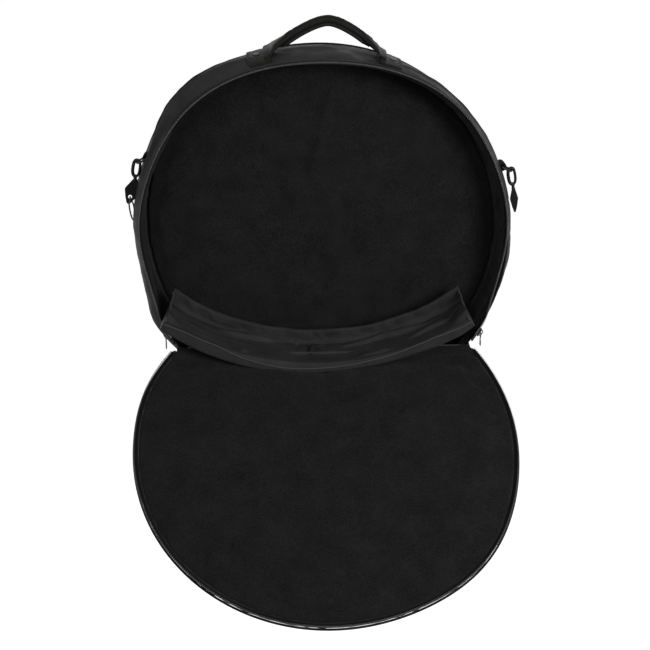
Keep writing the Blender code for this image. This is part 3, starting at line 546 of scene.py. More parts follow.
def wave_node(tree, vector, scale, direction, distortion):
    """Bands across a direction, from 0 to 1."""
    made = add_node(tree, "ShaderNodeTexWave", [("Vector", vector)], Scale=scale, Distortion=distortion)
    made.wave_type = "BANDS"
    made.bands_direction = direction
    return made.outputs["Fac"]


def math_node(tree, operation, a, b):
    """An operation on two outputs or numbers."""
    made = tree.nodes.new("ShaderNodeMath")
    made.operation = operation
    for socket, value in zip(made.inputs, (a, b)):
        if isinstance(value, (int, float)):
            socket.default_value = value
        else:
            tree.links.new(value, socket)
    return made.outputs[0]


def vary(tree, shader, socket, value, low, high, start=0.3, end=0.7):
    """Drives a socket by a ramp of colours or greys, from low at start to high at end of the value."""
    made = add_node(tree, "ShaderNodeValToRGB", [("Fac", value)])
    for element, place, level in zip(made.color_ramp.elements, (start, end), (low, high)):
        element.position = place
        element.color = (*level, 1) if isinstance(level, tuple) else (level, level, level, 1)
    tree.links.new(made.outputs["Color"], shader.inputs[socket])


def relief(tree, shader, height, distance, strength=1.0, below=None):
    """Bumps the shader's surface by a height, over the bumps below."""
    links = [("Height", height)] + ([("Normal", below)] if below is not None else [])
    made = add_node(tree, "ShaderNodeBump", links, Strength=strength, Distance=distance)
    tree.links.new(made.outputs["Normal"], shader.inputs["Normal"])
    return made.outputs["Normal"]


def shade(colour, share):
    """A colour made darker or lighter."""
    return tuple(min(1.0, level * share) for level in colour)


def leathercloth(name, colour):
    """Satin leathercloth: pebbled cells over soft undulations, its gloss varying in soft patches."""
    made, tree, shader = finish(name, colour, 0.45, Specular_IOR_Level=0.025)
    place = coordinates(tree)
    undulations = relief(tree, shader, noise_node(tree, place, 60, 2), 0.0012, 0.5)
    relief(tree, shader, cell_node(tree, place, 950), 0.00022, 0.7, undulations)
    vary(tree, shader, "Roughness", noise_node(tree, place, 35, 3), 0.38, 0.58)
    # The base colour is lighter than the black cloth's own, standing in for its satin sheen while the
    # specular stays low: partly its own colour, partly painted sheen.
    tone = noise_node(tree, place, 22, 4)
    vary(tree, shader, "Base Color", tone, shade(colour, 0.764706), shade(colour, 1.235294))
    return made


def fleece(name, colour, spread):
    """Napped lining: very rough, with a fine pile and faint brushed patches."""
    made, tree, shader = finish(
        name, colour, 1.0, Sheen_Weight=0.04, Sheen_Roughness=0.6, Specular_IOR_Level=0.02
    )
    place = coordinates(tree)
    relief(tree, shader, noise_node(tree, place, 1400, 4, 0.7), 0.0006, 0.8)
    speckle = math_node(tree, "MULTIPLY", noise_node(tree, place, 520, 3, 0.8), 0.75)
    patches = math_node(tree, "MULTIPLY", noise_node(tree, place, 26, 5, 0.6), 0.25)
    tone = math_node(tree, "ADD", speckle, patches)
    low, high = shade(colour, 1 - spread), shade(colour, 1 + spread)
    vary(tree, shader, "Base Color", tone, low, high, 0.36, 0.64)
    return made


def nylon(name, colour):
    """Thin woven nylon: crossed fine ribs on the piece's own map, with a soft shine."""
    made, tree, shader = finish(
        name, colour, 0.5, Sheen_Weight=0.03, Sheen_Roughness=0.4, Specular_IOR_Level=0.08
    )
    weave, place = coordinates(tree, "UV"), coordinates(tree)
    ribs = [wave_node(tree, weave, 420, direction, 0.4) for direction in "XY"]
    below = relief(tree, shader, math_node(tree, "ADD", *ribs), 0.00012, 0.6)
    relief(tree, shader, noise_node(tree, place, 130, 3), 0.0007, 0.35, below)
    tone = noise_node(tree, place, 24, 3)
    vary(tree, shader, "Base Color", tone, shade(colour, 0.756757), shade(colour, 1.243243))
    return made


def leather(name, colour):
    """Smooth dyed leather: fine pores, creases and worn, glossier patches."""
    made, tree, shader = finish(name, colour, 0.40, Specular_IOR_Level=0.05)
    place = coordinates(tree)
    wrinkles = relief(tree, shader, noise_node(tree, place, 90, 4), 0.0007, 0.4)
    relief(tree, shader, cell_node(tree, place, 1500), 0.00012, 0.6, wrinkles)
    vary(tree, shader, "Roughness", noise_node(tree, place, 55, 4), 0.30, 0.52)
    return made


def piping_cloth(name, colour):
    """Leathercloth drawn tight round a cord: smooth, with faint cross wrinkles."""
    made, tree, shader = finish(name, colour, 0.42, Specular_IOR_Level=0.04)
    relief(tree, shader, noise_node(tree, coordinates(tree), 420, 2), 0.0003, 0.5)
    return made


def woven(name, colour, ribs, depth):
    """Woven tape: ribs across its length on the piece's own map, and weaker ones along it."""
    made, tree, shader = finish(
        name, colour, 0.8, Sheen_Weight=0.04, Sheen_Roughness=0.5, Specular_IOR_Level=0.03
    )
    place = coordinates(tree, "UV")
    rib = wave_node(tree, place, ribs, "X", 0.6)
    cross = wave_node(tree, place, ribs * 0.8, "Y", 0.6)
    relief(tree, shader, math_node(tree, "ADD", rib, math_node(tree, "MULTIPLY", cross, 0.6)), depth, 0.8)
    # The colour follows the ribs, darker in their grooves and lighter on their crests: painted shade and
    # light on the ribs.
    vary(tree, shader, "Base Color", rib, shade(colour, 0.7), shade(colour, 1.35), 0.0, 1.0)
    return made


def coil_plastic(name, colour):
    """Nylon thread of the coil: satin, with small changes of tone."""
    made, tree, shader = finish(name, colour, 0.4, Specular_IOR_Level=0.12)
    tone = noise_node(tree, coordinates(tree), 300, 2)
    vary(tree, shader, "Base Color", tone, shade(colour, 0.636364), shade(colour, 1.363636))
    return made


def thread(name, colour):
    """Sewing thread, with a fine twist."""
    made, tree, shader = finish(name, colour, 0.7, Specular_IOR_Level=0.1)
    relief(tree, shader, noise_node(tree, coordinates(tree), 2500, 2), 0.0002, 0.6)
    return made


def metal(name, colour, roughness):
    """Plated wire: fine scratches in the shine and a slightly worn tone."""
    made, tree, shader = finish(name, colour, roughness, 1.0)
    place = coordinates(tree)
    vary(tree, shader, "Roughness", noise_node(tree, place, 600, 4), roughness * 0.7, roughness * 1.4)
    tone = noise_node(tree, place, 150, 3)
    vary(tree, shader, "Base Color", tone, shade(colour, 0.8), shade(colour, 1.15))
    relief(tree, shader, noise_node(tree, place, 900, 2), 0.00005, 0.4)
    return made


# Each finish by its short name: its maker, its material's name, its colour in BagColours and what the
# maker needs besides
FINISHES = {
    "leathercloth": (leathercloth, "leathercloth", "cloth"),
    "fleece": (fleece, "fleece", "lining", 0.688889),
    # A lighter copy of the lining's fleece for the cradle's front, which faces down and away from the lamps:
    # its paler colour is painted light.
    "front_fleece": (fleece, "front_fleece", "cradle_front", 0.44),
    "nylon": (nylon, "nylon", "tray"),
    "leather": (leather, "leather", "leather"),
    "piping": (piping_cloth, "piping", "piping"),
    "tape": (woven, "zip_tape", "tape", 300, 0.00012),
    # The binding's pale tone is partly painted highlight, set to the soft shine along the cradle's front
    # edge; the end trims share it.
    "binding": (woven, "pale_binding", "binding", 330, 0.00015),
    "webbing": (woven, "webbing", "webbing", 210, 0.0003),
    "coil": (coil_plastic, "zip_coil", "coil"),
    "thread": (thread, "thread", "thread"),
    "black_metal": (metal, "black_metal", "black_metal", 0.30),
    "bright_metal": (metal, "bright_metal", "bright_metal", 0.32),
}
MADE = {}


def get(kind):
    """The finish's material, made the first time it is asked for."""
    if kind not in MADE:
        maker, name, colour, *rest = FINISHES[kind]
        MADE[kind] = maker(name, tuple(getattr(bpy.context.scene.bag_colours, colour)), *rest)
    return MADE[kind]


# The bag's outline, from its rim to its back


def rim_shift(turn):
    """How far the soft front rim stands from its true round: it droops at the top, stands out at the
    shoulders and is drawn in above the fold."""
    on_zip = step(-29, -20, turn) * (1 - step(200, 209, turn))
    droop = -0.0100 * hump(turn, 90, 24)
    shoulder = 0.0045 * (hump(turn, 47, 17) + hump(turn, 133, 17))
    waist = -0.0075 * (hump(turn, -13, 14) + hump(turn, 193, 14))
    return droop + shoulder + on_zip * waist


def wall_swell(turn, depth):
    """How far the wall and the back's edge swell at the upper left: a bell round the ring, times part of
    a sine over the depth, whose top lies further back towards the side tab."""
    away = (turn - 128 + 180) % 360 - 180
    bell = np.exp(-((away / np.where(away < 0, 22.0, 38.0)) ** 2))
    power = 0.8 + 2.0 * step(138, 155, turn)
    return 0.0150 * bell * np.sin(0.75 * np.pi * np.clip(depth, 0, 1) ** power)


def wall_depth(y):
    """The share of the wall's depth at a place across the bag."""
    return (y - WALL_FRONT_Y) / WALL_DEPTH


def wall_place(turn, depth, out=0.0):
    """The side wall at a depth from 0 at its front edge to 1 at its back: the radius goes from the rim's
    to the back's, plus a bulge of 4 s (1 - s), a belly near the lower left and the swell."""
    front = RIM_RADIUS + rim_shift(turn)
    bulge = 0.0045 + 0.0058 * (hump(turn, 2, 42) + hump(turn, 178, 42)) - 0.0040 * hump(turn, 40, 17)
    belly = 0.0110 * hump(turn, 210, 13) * 6.75 * depth * (1 - depth) ** 2
    radius = front + (BACK_RADIUS - front) * depth + bulge * 4 * depth * (1 - depth) + belly
    return polar(radius + wall_swell(turn, depth) + out, turn, WALL_FRONT_Y + WALL_DEPTH * depth)


# Long folds of the wall's cloth: places as turns and shares of the depth, then width and height
WALL_FOLDS = (
    ([(168, 0.22), (145, 0.26), (118, 0.32), (104, 0.42)], 0.0064, 0.0075),
    ([(152, 0.46), (136, 0.56), (118, 0.70)], 0.0050, 0.0050),
    ([(160, 0.37), (140, 0.42), (122, 0.52)], 0.0040, -0.0060),
    ([(38, 0.60), (55, 0.42), (70, 0.32)], 0.0055, 0.0034),
    ([(22, 0.34), (38, 0.46), (54, 0.64)], 0.0048, 0.0032),
    ([(28, 0.50), (44, 0.58), (60, 0.54)], 0.0036, -0.0040),
    ([(84, 0.62), (94, 0.52), (104, 0.60)], 0.0060, 0.0022),
)

# Creases of the other cloths, in metres from the piece's own middle, then width and height
BACK_FOLDS = (
    ([(0.024, 0.262), (0.010, 0.205), (-0.012, 0.120), (-0.022, 0.060)], 0.0065, 0.0085),
    ([(0.066, 0.250), (0.060, 0.170), (0.052, 0.110)], 0.008, 0.0050),
    ([(-0.180, 0.160), (-0.120, 0.060), (-0.090, -0.02)], 0.013, 0.0024),
    ([(0.210, 0.100), (0.150, 0.030), (0.120, -0.05)], 0.012, 0.0020),
)
LID_FOLDS = (
    ([(-0.170, 0.335), (-0.120, 0.385), (-0.095, 0.430)], 0.008, 0.0040),
    ([(-0.060, 0.120), (-0.010, 0.180), (0.015, 0.260)], 0.012, 0.0022),
    ([(0.200, 0.330), (0.150, 0.300), (0.110, 0.290)], 0.007, 0.0026),
    ([(0.235, 0.270), (0.180, 0.255), (0.140, 0.262)], 0.006, 0.0022),
)
TRAY_FOLDS = (
    ([(-0.169, -0.021), (-0.110, -0.0150), (-0.046, -0.0140)], 0.0030, 0.0056),
    ([(-0.034, -0.017), (-0.027, -0.0075)], 0.0024, 0.0060),
    ([(0.020, -0.0300), (0.104, -0.0180), (0.203, -0.0230)], 0.0036, 0.0075),
    ([(-0.215, -0.034), (-0.150, -0.040), (-0.090, -0.036)], 0.0040, 0.0016),
    ([(-0.128, -0.086), (-0.105, -0.070)], 0.0028, 0.0046),
    ([(0.043, -0.0790), (0.082, -0.0800), (0.120, -0.0770)], 0.0028, 0.0066),
    ([(0.130, -0.058), (0.180, -0.046), (0.235, -0.052)], 0.0042, 0.0048),
    ([(-0.060, -0.058), (-0.030, -0.050), (-0.010, -0.046)], 0.0030, 0.0014),
)
TRAY_STAR = (
    ([(-0.005, -0.012), (-0.008, -0.030), (-0.012, -0.062)], 0.0022, 0.0032),
    ([(-0.008, -0.026), (-0.034, -0.044)], 0.0019, 0.0040),
    ([(-0.008, -0.026), (0.020, -0.052)], 0.0019, 0.0040),
    ([(-0.008, -0.026), (-0.010, -0.060)], 0.0019, 0.0040),
    ([(-0.008, -0.026), (0.014, -0.018)], 0.0019, 0.0040),
    ([(-0.008, -0.026), (-0.006, -0.040)], 0.0019, 0.0040),
)


def wall_relief(turn, depth):
    """Dents of the wall's cloth, puckers at its seams, long folds and soft pulls from the handle's feet."""
    dents = 0.0011 * noise(turn / 360 * 56, depth * 3, 5)
    seam = np.minimum(depth, 1 - depth)
    puckers = 0.00045 * noise(turn / 360 * 512, depth * 2, 9, 2) * np.exp(-((seam / 0.12) ** 2))
    pulls = 0.0012 * (hump(turn, 76, 7) + hump(turn, 104, 7)) * np.sin(np.pi * depth)
    along, across = np.radians(turn) * FITTING_RADIUS, depth * WALL_MAP
    folds = creases(along, across, [
        ([(math.radians(t) * FITTING_RADIUS, d * WALL_MAP) for t, d in line], width, height)
        for line, width, height in WALL_FOLDS
    ])
    return (dents - pulls + folds) * np.sin(np.pi * np.clip(depth, 0, 1)) ** 0.5 + puckers


def lid_world(points):
    """From the closed lid's frame to its place when opened down."""
    a = math.radians(OPEN_ANGLE)
    c, s = math.cos(a), math.sin(a)
    x, y, z = np.moveaxis(np.asarray(points, float), -1, 0)
    return np.stack([x, FRONT_Y + y * c - z * s, FOLD_Z + y * s + z * c], -1)


def lid_local(points):
    """From the opened lid's place back to the closed lid's frame."""
    a = math.radians(OPEN_ANGLE)
    c, s = math.cos(a), math.sin(a)
    y, z = points[..., 1] - FRONT_Y, points[..., 2] - FOLD_Z
    return np.stack([points[..., 0], y * c + z * s, z * c - y * s], -1)


def lid_spread(turn):
    """How far the lid's limp edge spreads beyond its round, in its own frame."""
    return 0.0082 * hump(turn, 40, 22) + 0.0035 * hump(turn, 200, 14)


def lid_ripple(turn):
    """How far the lid's soft edge stands up or down: a slow wave and a few tight ripples."""
    ends = step(-34, -22, turn) * (1 - step(202, 214, turn))
    slow = 0.0016 * noise(turn / 26 + 40, 0 * turn, 61, 2)
    tight = 0.0018 * np.sin(np.radians(turn) * 26) * hump(turn, 28, 15)
    return (slow + tight) * ends


def grip_height(x):
    """The drawn up line: the drop from the peak grows with the distance from it to the power 1.5, the peak
    is rounded and leans to the right."""
    lean = PEAK_LEAN * np.exp(-((np.asarray(x) / 0.045) ** 2))
    return PEAK_Z - GRIP_DROP * (((x - lean) ** 2 + PEAK_ROUND**2) ** 0.75 - PEAK_ROUND**1.5)


def riding(obj, body, slot_name, *nodes):
    """Gives the object its body and hides the solids it stands for; its slot is not used."""
    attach(obj, body)
    if nodes:
        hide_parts(*nodes)
    return obj


def flattening(obj):
    """Gives the object a mesh of its own."""
    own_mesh(obj)


# Sizes and colours that a user may change


def colour(name, description, level):
    """A colour property: one level for a grey, or three."""
    default = level if isinstance(level, tuple) else (level,) * 3
    return bpy.props.FloatVectorProperty(
        name=name, description=description, default=default, size=3, min=0.0, max=1.0, subtype="COLOR"
    )


class BagSizes(bpy.types.PropertyGroup):
    """Sizes of the soft linings, the coil and the stitches"""

    puff: bpy.props.FloatProperty(
        name="Puff", description="Pressure inside the padded linings", default=3.0, min=0.0
    )
    slack: bpy.props.FloatProperty(
        name="Slack", description="How much larger the linings are cut than their pads", default=0.02,
        min=0.0, subtype="FACTOR",
    )
    coil_pitch: bpy.props.FloatProperty(
        name="Coil pitch", description="Distance between the turns of the zip's coil", default=0.0034,
        min=0.001, unit="LENGTH",
    )
    stitch_pitch: bpy.props.FloatProperty(
        name="Stitch pitch", description="Distance between the handle's stitches", default=0.0034,
        min=0.001, unit="LENGTH",
    )


class BagColours(bpy.types.PropertyGroup):
    """Base colours of the materials"""

    # Leathercloth's grey is partly the cloth's own black and partly painted sheen, set lighter to stand in
    # for its satin shine.
    cloth: colour("Leathercloth", "Wall, panels, lid and fold", 0.034)
    lining: colour("Lining", "Napped lining of the body and the lid", 0.01125)
    # The cradle's front fleece is a paler copy of the lining, painted light on a face turned away from the
    # lamps.
    cradle_front: colour("Cradle's front", "Napped cloth below the tray's pale line", 0.025)
    tray: colour("Tray", "Nylon in the cradle", 0.0185)
    leather: colour("Leather", "Handle, patches and strap ends", (0.009975, 0.0095, 0.00893))
    piping: colour("Piping", "Cords round the panels", 0.012)
    tape: colour("Zip tape", "Woven tape of the zip", 0.0055)
    # Binding: its pale tone is partly painted highlight along the cradle's front edge.
    binding: colour("Binding", "Pale edges of the cradle", 0.050)
    webbing: colour("Webbing", "Side tabs", 0.009)
    coil: colour("Coil", "Nylon coil of the zip", 0.11)
    thread: colour("Thread", "Stitches", 0.032)
    black_metal: colour("Dark metal", "Rings and clips", 0.018)
    bright_metal: colour("Bright metal", "Rivets, sliders, pulls and wire loop", 0.075)


class BagStage(bpy.types.PropertyGroup):
    """Camera and lights"""

    distance: bpy.props.FloatProperty(
        name="Camera distance", description="From the camera to the point it looks at", default=2.0,
        min=0.1, unit="LENGTH",
    )
    lens: bpy.props.FloatProperty(
        name="Lens", description="Focal length in millimetres on a 36 mm sensor", default=69.65, min=1.0
    )
    key_power: bpy.props.FloatProperty(
        name="Key light", description="Light at the right", default=25.0, min=0.0, subtype="POWER"
    )
    front_power: bpy.props.FloatProperty(
        name="Front light", description="Soft light above the camera", default=18.0, min=0.0, subtype="POWER"
    )
    side_power: bpy.props.FloatProperty(
        name="Side light", description="Faint light from the left", default=1.5, min=0.0, subtype="POWER"
    )


# Operators


class BagWall(bpy.types.Operator):
    """Side wall, its padded lining and its edges"""

    bl_idname = "bag.wall"
    bl_label = "Side wall"

    def execute(self, context):
        turn = np.linspace(0, 360, 720, endpoint=False)[:, None]
        depth = np.linspace(0, 1, 46)[None, :]
        bend = wall_relief(turn, depth)
        outer = wall_place(turn, depth, bend)
        inner = wall_place(turn, depth[:, ::-1], bend[:, ::-1] - CLOTH)
        uv = pairs(np.radians(turn) * 0.29, np.concatenate([depth, 1 + depth], 1) * WALL_MAP)
        points = np.concatenate([outer, inner], 1)
        wall = grid_object("wall_cloth", points, get("leathercloth"), wrap_u=True, wrap_v=True, uv=uv)
        riding(wall, "shell", "leathercloth", "side_wall")
        self.lining(turn)
        self.cords()
        return {"FINISHED"}

    def lining(self, turn):
        """The section runs from the outer front, round a rounded front edge, along the inner face to
        the back lining, and returns behind it. The inner face has radial puckers."""
        share = np.linspace(0, 1, 30)[None, :]
        front_y, back_y = WALL_FRONT_Y + 0.0004, LINING_Y - 0.0003
        base = wall_place(turn, wall_depth(front_y + (back_y - front_y) * share))
        radial = wall_out(base)
        inset, rolled, behind = 0.0115, 0.0070, 0.0021
        roll = rolled * np.sqrt(np.clip(1 - share / 0.13, 0, 1))
        strength = 1.5 * hump(turn, 8, 40) + 0.6 * hump(turn, 180, 46) + 0.2
        strength = strength * np.sin(np.pi * share) ** 0.6
        ripple = 0.0016 * noise(turn / 360 * 150, share * 1.2, 21, 2) * strength
        inner = base + radial * (roll - inset + ripple)[..., None]
        outer = (base - radial * behind)[:, ::-1]
        points = np.concatenate([inner, outer], 1)
        quilt = grid_object("wall_lining", points, get("fleece"), wrap_u=True, wrap_v=True)
        riding(quilt, "shell", "fleece", "side_lining", "side_padding")

    def cords(self):
        """Piping: a round cord round the back edge and a slimmer one behind the zip."""
        turn = np.linspace(0, 360, 540, endpoint=False)
        for name, radius, y, thick, node in (
            ("back_cord", 0.2920 + wall_swell(turn, 1.0), 0.0476, 0.0018, "back_piping"),
            ("rim_cord", 0.2886 + rim_shift(turn), -0.0408, 0.0015, "front_piping"),
        ):
            cord = tube(name, polar(radius, turn, y), thick, get("piping"), closed=True, sides=12)
            riding(cord, "shell", "piping_cord", node)


class BagBack(bpy.types.Operator):
    """Back panel and back lining"""

    bl_idname = "bag.back"
    bl_label = "Back"

    def execute(self, context):
        self.lining(context.scene.bag_sizes)

        def circle(angle):
            return BACK_PANEL_RADIUS + wall_swell(np.degrees(angle), 1.0)

        def place(x, z, h):
            r = np.hypot(x, z) / BACK_PANEL_RADIUS
            puff = 0.0016 * np.cos(np.clip(r, 0, 1) * np.pi / 2)
            dents = 0.0008 * noise(x * 22 + 7, z * 22 + 7, 31) * (1 - r**4)
            return np.stack([x, 0.0472 + h + (puff + dents) * (h > 0.001), CENTRE_Z + z], -1)

        panel = pad("back_cloth", circle, place, 0.0026, get("leathercloth"), 0.0012, 240, 50)
        riding(panel, "shell", "leathercloth", "back_panel")
        return {"FINISHED"}

    def lining(self, sizes):
        """A soft disc that crowns towards the front, with the creases of its hanging cloth."""

        def outline(angle):
            turn = np.degrees(angle)
            return BACK_LINING_RADIUS + 0.15 * rim_shift(turn) + wall_swell(turn, 1.0)

        def place(x, z, h):
            r = np.clip(np.hypot(x, z) / BACK_LINING_RADIUS, 0, 1)
            crown = 0.0030 * (1 - r**2) + 0.0012 * noise(x * 14 + 3, z * 14 + 3, 41) * (1 - r**6)
            face = (crown + creases(x, z, BACK_FOLDS)) * (h > 0.002)
            return np.stack([x, 0.0466 - h - face, CENTRE_Z + z], -1)

        def held(p):
            turn = np.degrees(np.arctan2(p[:, 2] - CENTRE_Z, p[:, 0]))
            reach = np.hypot(p[:, 0], p[:, 2] - CENTRE_Z) - wall_swell(turn, 1.0)
            return np.maximum(step(0.262, 0.274, reach), (p[:, 1] > 0.043).astype(float))

        quilt = pad("back_quilt", outline, place, 0.0079, get("fleece"), 0.003, 300, 70)
        settle(quilt, held, sizes)
        riding(quilt, "shell", "fleece", "back_lining", "back_padding")


class BagZip(bpy.types.Operator):
    """Tapes and coils of the zip on the body and on the lid, and the band below the fold"""

    bl_idname = "bag.zip"
    bl_label = "Zip"

    def execute(self, context):
        pitch = context.scene.bag_sizes.coil_pitch
        turn = np.linspace(*ZIP_ENDS, 700)
        self.body_row(turn, pitch)
        self.lid_row(turn, pitch)
        return {"FINISHED"}

    def coil(self, radius, y, shift_of, lift_of, middle, pitch):
        """A helix of nylon along the zip's row, flattened to 2.1 by 3 mm, one turn for each pitch."""
        rounds = int(math.radians(ZIP_ENDS[1] - ZIP_ENDS[0]) * ZIP_RADIUS / pitch)
        s = np.linspace(0, 1, rounds * 8 + 1)
        turn = ZIP_ENDS[0] + (ZIP_ENDS[1] - ZIP_ENDS[0]) * s
        spin = TAU * rounds * s
        reach = radius + shift_of(turn) + 0.00105 * np.cos(spin)
        return polar(reach, turn, y + 0.00150 * np.sin(spin) + lift_of(turn), middle)

    def body_row(self, turn, pitch):
        """Tape and coil on the body's rim, and the band below the fold, as closed sections."""
        inner, outer, front, back = 0.28775, 0.28865, -0.0485, -0.0426
        profile = [(inner, front), (outer, front), (outer, back), (inner, back)]
        tape = band("zip_tape_of_body", profile, turn, get("tape"), rim_shift)
        riding(tape, "shell", "zip_tape", "zip_tape_body")
        path = self.coil(ZIP_RADIUS, -0.0502, rim_shift, lambda turn: 0 * turn, CENTRE_Z, pitch)
        coil = tube("zip_coil_of_body", path, 0.00062, get("coil"), sides=4)
        riding(coil, "shell", "zip_coil", "zip_coil_body")
        inner, outer, front, back = 0.2874, 0.2889, -0.0515, -0.0426
        profile = [(inner, front), (outer, front), (outer, back), (inner, back)]
        turn = np.linspace(-36.0, -144.0, 300)
        edge = band(
            "lower_edge", profile, turn, get("leathercloth"), lambda t: 0.0003 * noise(t / 3, 0 * t, 3)
        )
        riding(edge, "shell", "leathercloth", "lower_edge_band")

    def lid_row(self, turn, pitch):
        """The tape's outer edge waves with the lid's limp edge, its inner edge is sewn down."""
        section = np.array([
            (0.2836, -0.0052), (0.2878, -0.0040), (0.2890, -0.0034),
            (0.2890, -0.0042), (0.2880, -0.0050), (0.2838, -0.0062),
        ])
        around = turn[:, None]
        limp = (section[:, 0] - 0.2836) / 0.0054
        radius = section[:, 0] + LID_GROWTH + lid_spread(around)
        points = polar(radius, around, section[:, 1] + lid_ripple(around) * limp, FOLD_DROP)
        uv = pairs(np.radians(around) * ZIP_RADIUS, np.linspace(0, 0.012, len(section))[None, :])
        tape = grid_object("zip_tape_of_lid", lid_world(points), get("tape"), wrap_v=True, uv=uv, cap_u=True)
        riding(tape, "lid", "zip_tape", "zip_tape_lid")
        path = self.coil(0.2895 + LID_GROWTH, -0.0028, lid_spread, lid_ripple, FOLD_DROP, pitch)
        coil = tube("zip_coil_of_lid", lid_world(path), 0.00062, get("coil"), sides=4, up=(0.0, 0.6, 0.8))
        riding(coil, "lid", "zip_coil", "zip_coil_lid")


class BagLid(bpy.types.Operator):
    """Opened lid: its padded lining, outer cloth, border and piping"""

    bl_idname = "bag.lid"
    bl_label = "Lid"

    def execute(self, context):
        self.lining(context.scene.bag_sizes)
        self.cloth()
        self.border()
        return {"FINISHED"}

    def scoop(self, x, z):
        """How far the lid's pad is pressed down near the fold, where the cradle rests on it."""
        a = math.radians(OPEN_ANGLE)
        high = FOLD_Z - 0.0064 * math.sin(a) + z * math.cos(a)
        under = CRADLE_RADIUS + CRADLE_PAD + 0.0022
        limit = CRADLE_Z - np.sqrt(np.clip(under**2 - (x - CRADLE_X) ** 2, 0, None))
        below_cradle = 1 - step(0.034, 0.050, z * math.sin(a))
        return np.clip((high - limit) / math.sin(a), 0, 0.02) * below_cradle

    def lining(self, sizes):
        """The lining has hills and creases, and near the fold it is pressed as far as the lid's cloth."""
        outline = cut_circle(LID_LINING_RADIUS, LID_MIDDLE, 0.014, FOLD_DROP, 48.0, lid_spread)

        def place(x, z, h):
            z = z + LID_MIDDLE
            r = np.clip(np.hypot(x, z - FOLD_DROP) / 0.2815, 0, 1)
            hills = 0.0012 * noise(x * 15 + 9, z * 15 + 9, 51) * (1 - r**6) + 0.0022 * (1 - r**2)
            y = h - 0.0115 + (hills + creases(x, z, LID_FOLDS)) * (h > 0.002)
            pressed = np.maximum(y - self.scoop(x, z), np.minimum(y, 0.15 * h - 0.0126))
            return lid_world(np.stack([x, pressed, z], -1))

        def held(p):
            x, y, z = lid_local(p).T
            edge = np.maximum(step(0.265, 0.278, np.hypot(x, z - FOLD_DROP)), 1 - step(0.020, 0.038, z))
            return np.maximum(edge, (y < -0.0095).astype(float))

        quilt = pad("lid_quilt", outline, place, 0.0080, get("fleece"), 0.003, 320, 70)
        settle(quilt, held, sizes)
        riding(quilt, "lid", "fleece", "lid_lining", "lid_padding")

    def cloth(self):
        """The lid's outer panel, crowned outwards by 1 - r squared, with low dents."""
        outline = cut_circle(LID_CLOTH_RADIUS, LID_MIDDLE, 0.018, FOLD_DROP, 48.0, lid_spread)

        def place(x, z, h):
            r = np.clip(np.hypot(x, z + LID_MIDDLE - FOLD_DROP) / LID_CLOTH_RADIUS, 0, 1)
            out = 0.0014 * (1 - r**2) + 0.0008 * noise(x * 20 + 5, z * 20 + 5, 71) * (1 - r**6)
            return lid_world(np.stack([x, h * 0.7 - 0.0133 - out * (h < 0.001), z + LID_MIDDLE], -1))

        cover = pad("lid_cloth", outline, place, 0.0020, get("leathercloth"), 0.001, 300, 50)
        riding(cover, "lid", "leathercloth", "lid_panel")

    def border(self):
        """A turned in edge of leathercloth round the lining, and the piping outside it."""
        turn = np.linspace(-35.4, 215.4, 620)[:, None]
        section = np.array([
            (0.2826, -0.0128), (0.2880, -0.0130), (0.2888, -0.0110), (0.2889, -0.0075), (0.2882, -0.0058),
            (0.2836, -0.0066), (0.2815, -0.0072), (0.2815, -0.0082), (0.2868, -0.0076), (0.2874, -0.0118),
            (0.2826, -0.0118),
        ])
        wrinkles = 0.0004 * noise(turn / 2.2 + 9, 0 * turn, 77, 2)
        radius = section[:, 0] + LID_GROWTH + wrinkles + lid_spread(turn)
        y = section[:, 1] + 0.4 * lid_ripple(turn) * (section[:, 1] > -0.009)
        points = lid_world(polar(radius, turn, y, FOLD_DROP))
        edge = grid_object("lid_edge", points, get("leathercloth"), wrap_v=True, cap_u=True)
        riding(edge, "lid", "leathercloth", "lid_border")
        turn = np.linspace(-35.2, 215.2, 500)
        path = lid_world(polar(0.2906 + LID_GROWTH + lid_spread(turn), turn, -0.0119, FOLD_DROP))
        cord = tube("lid_cord", path, 0.0017, get("piping"), sides=12, up=(0.0, 0.6, 0.8))
        riding(cord, "lid", "piping_cord", "lid_piping")


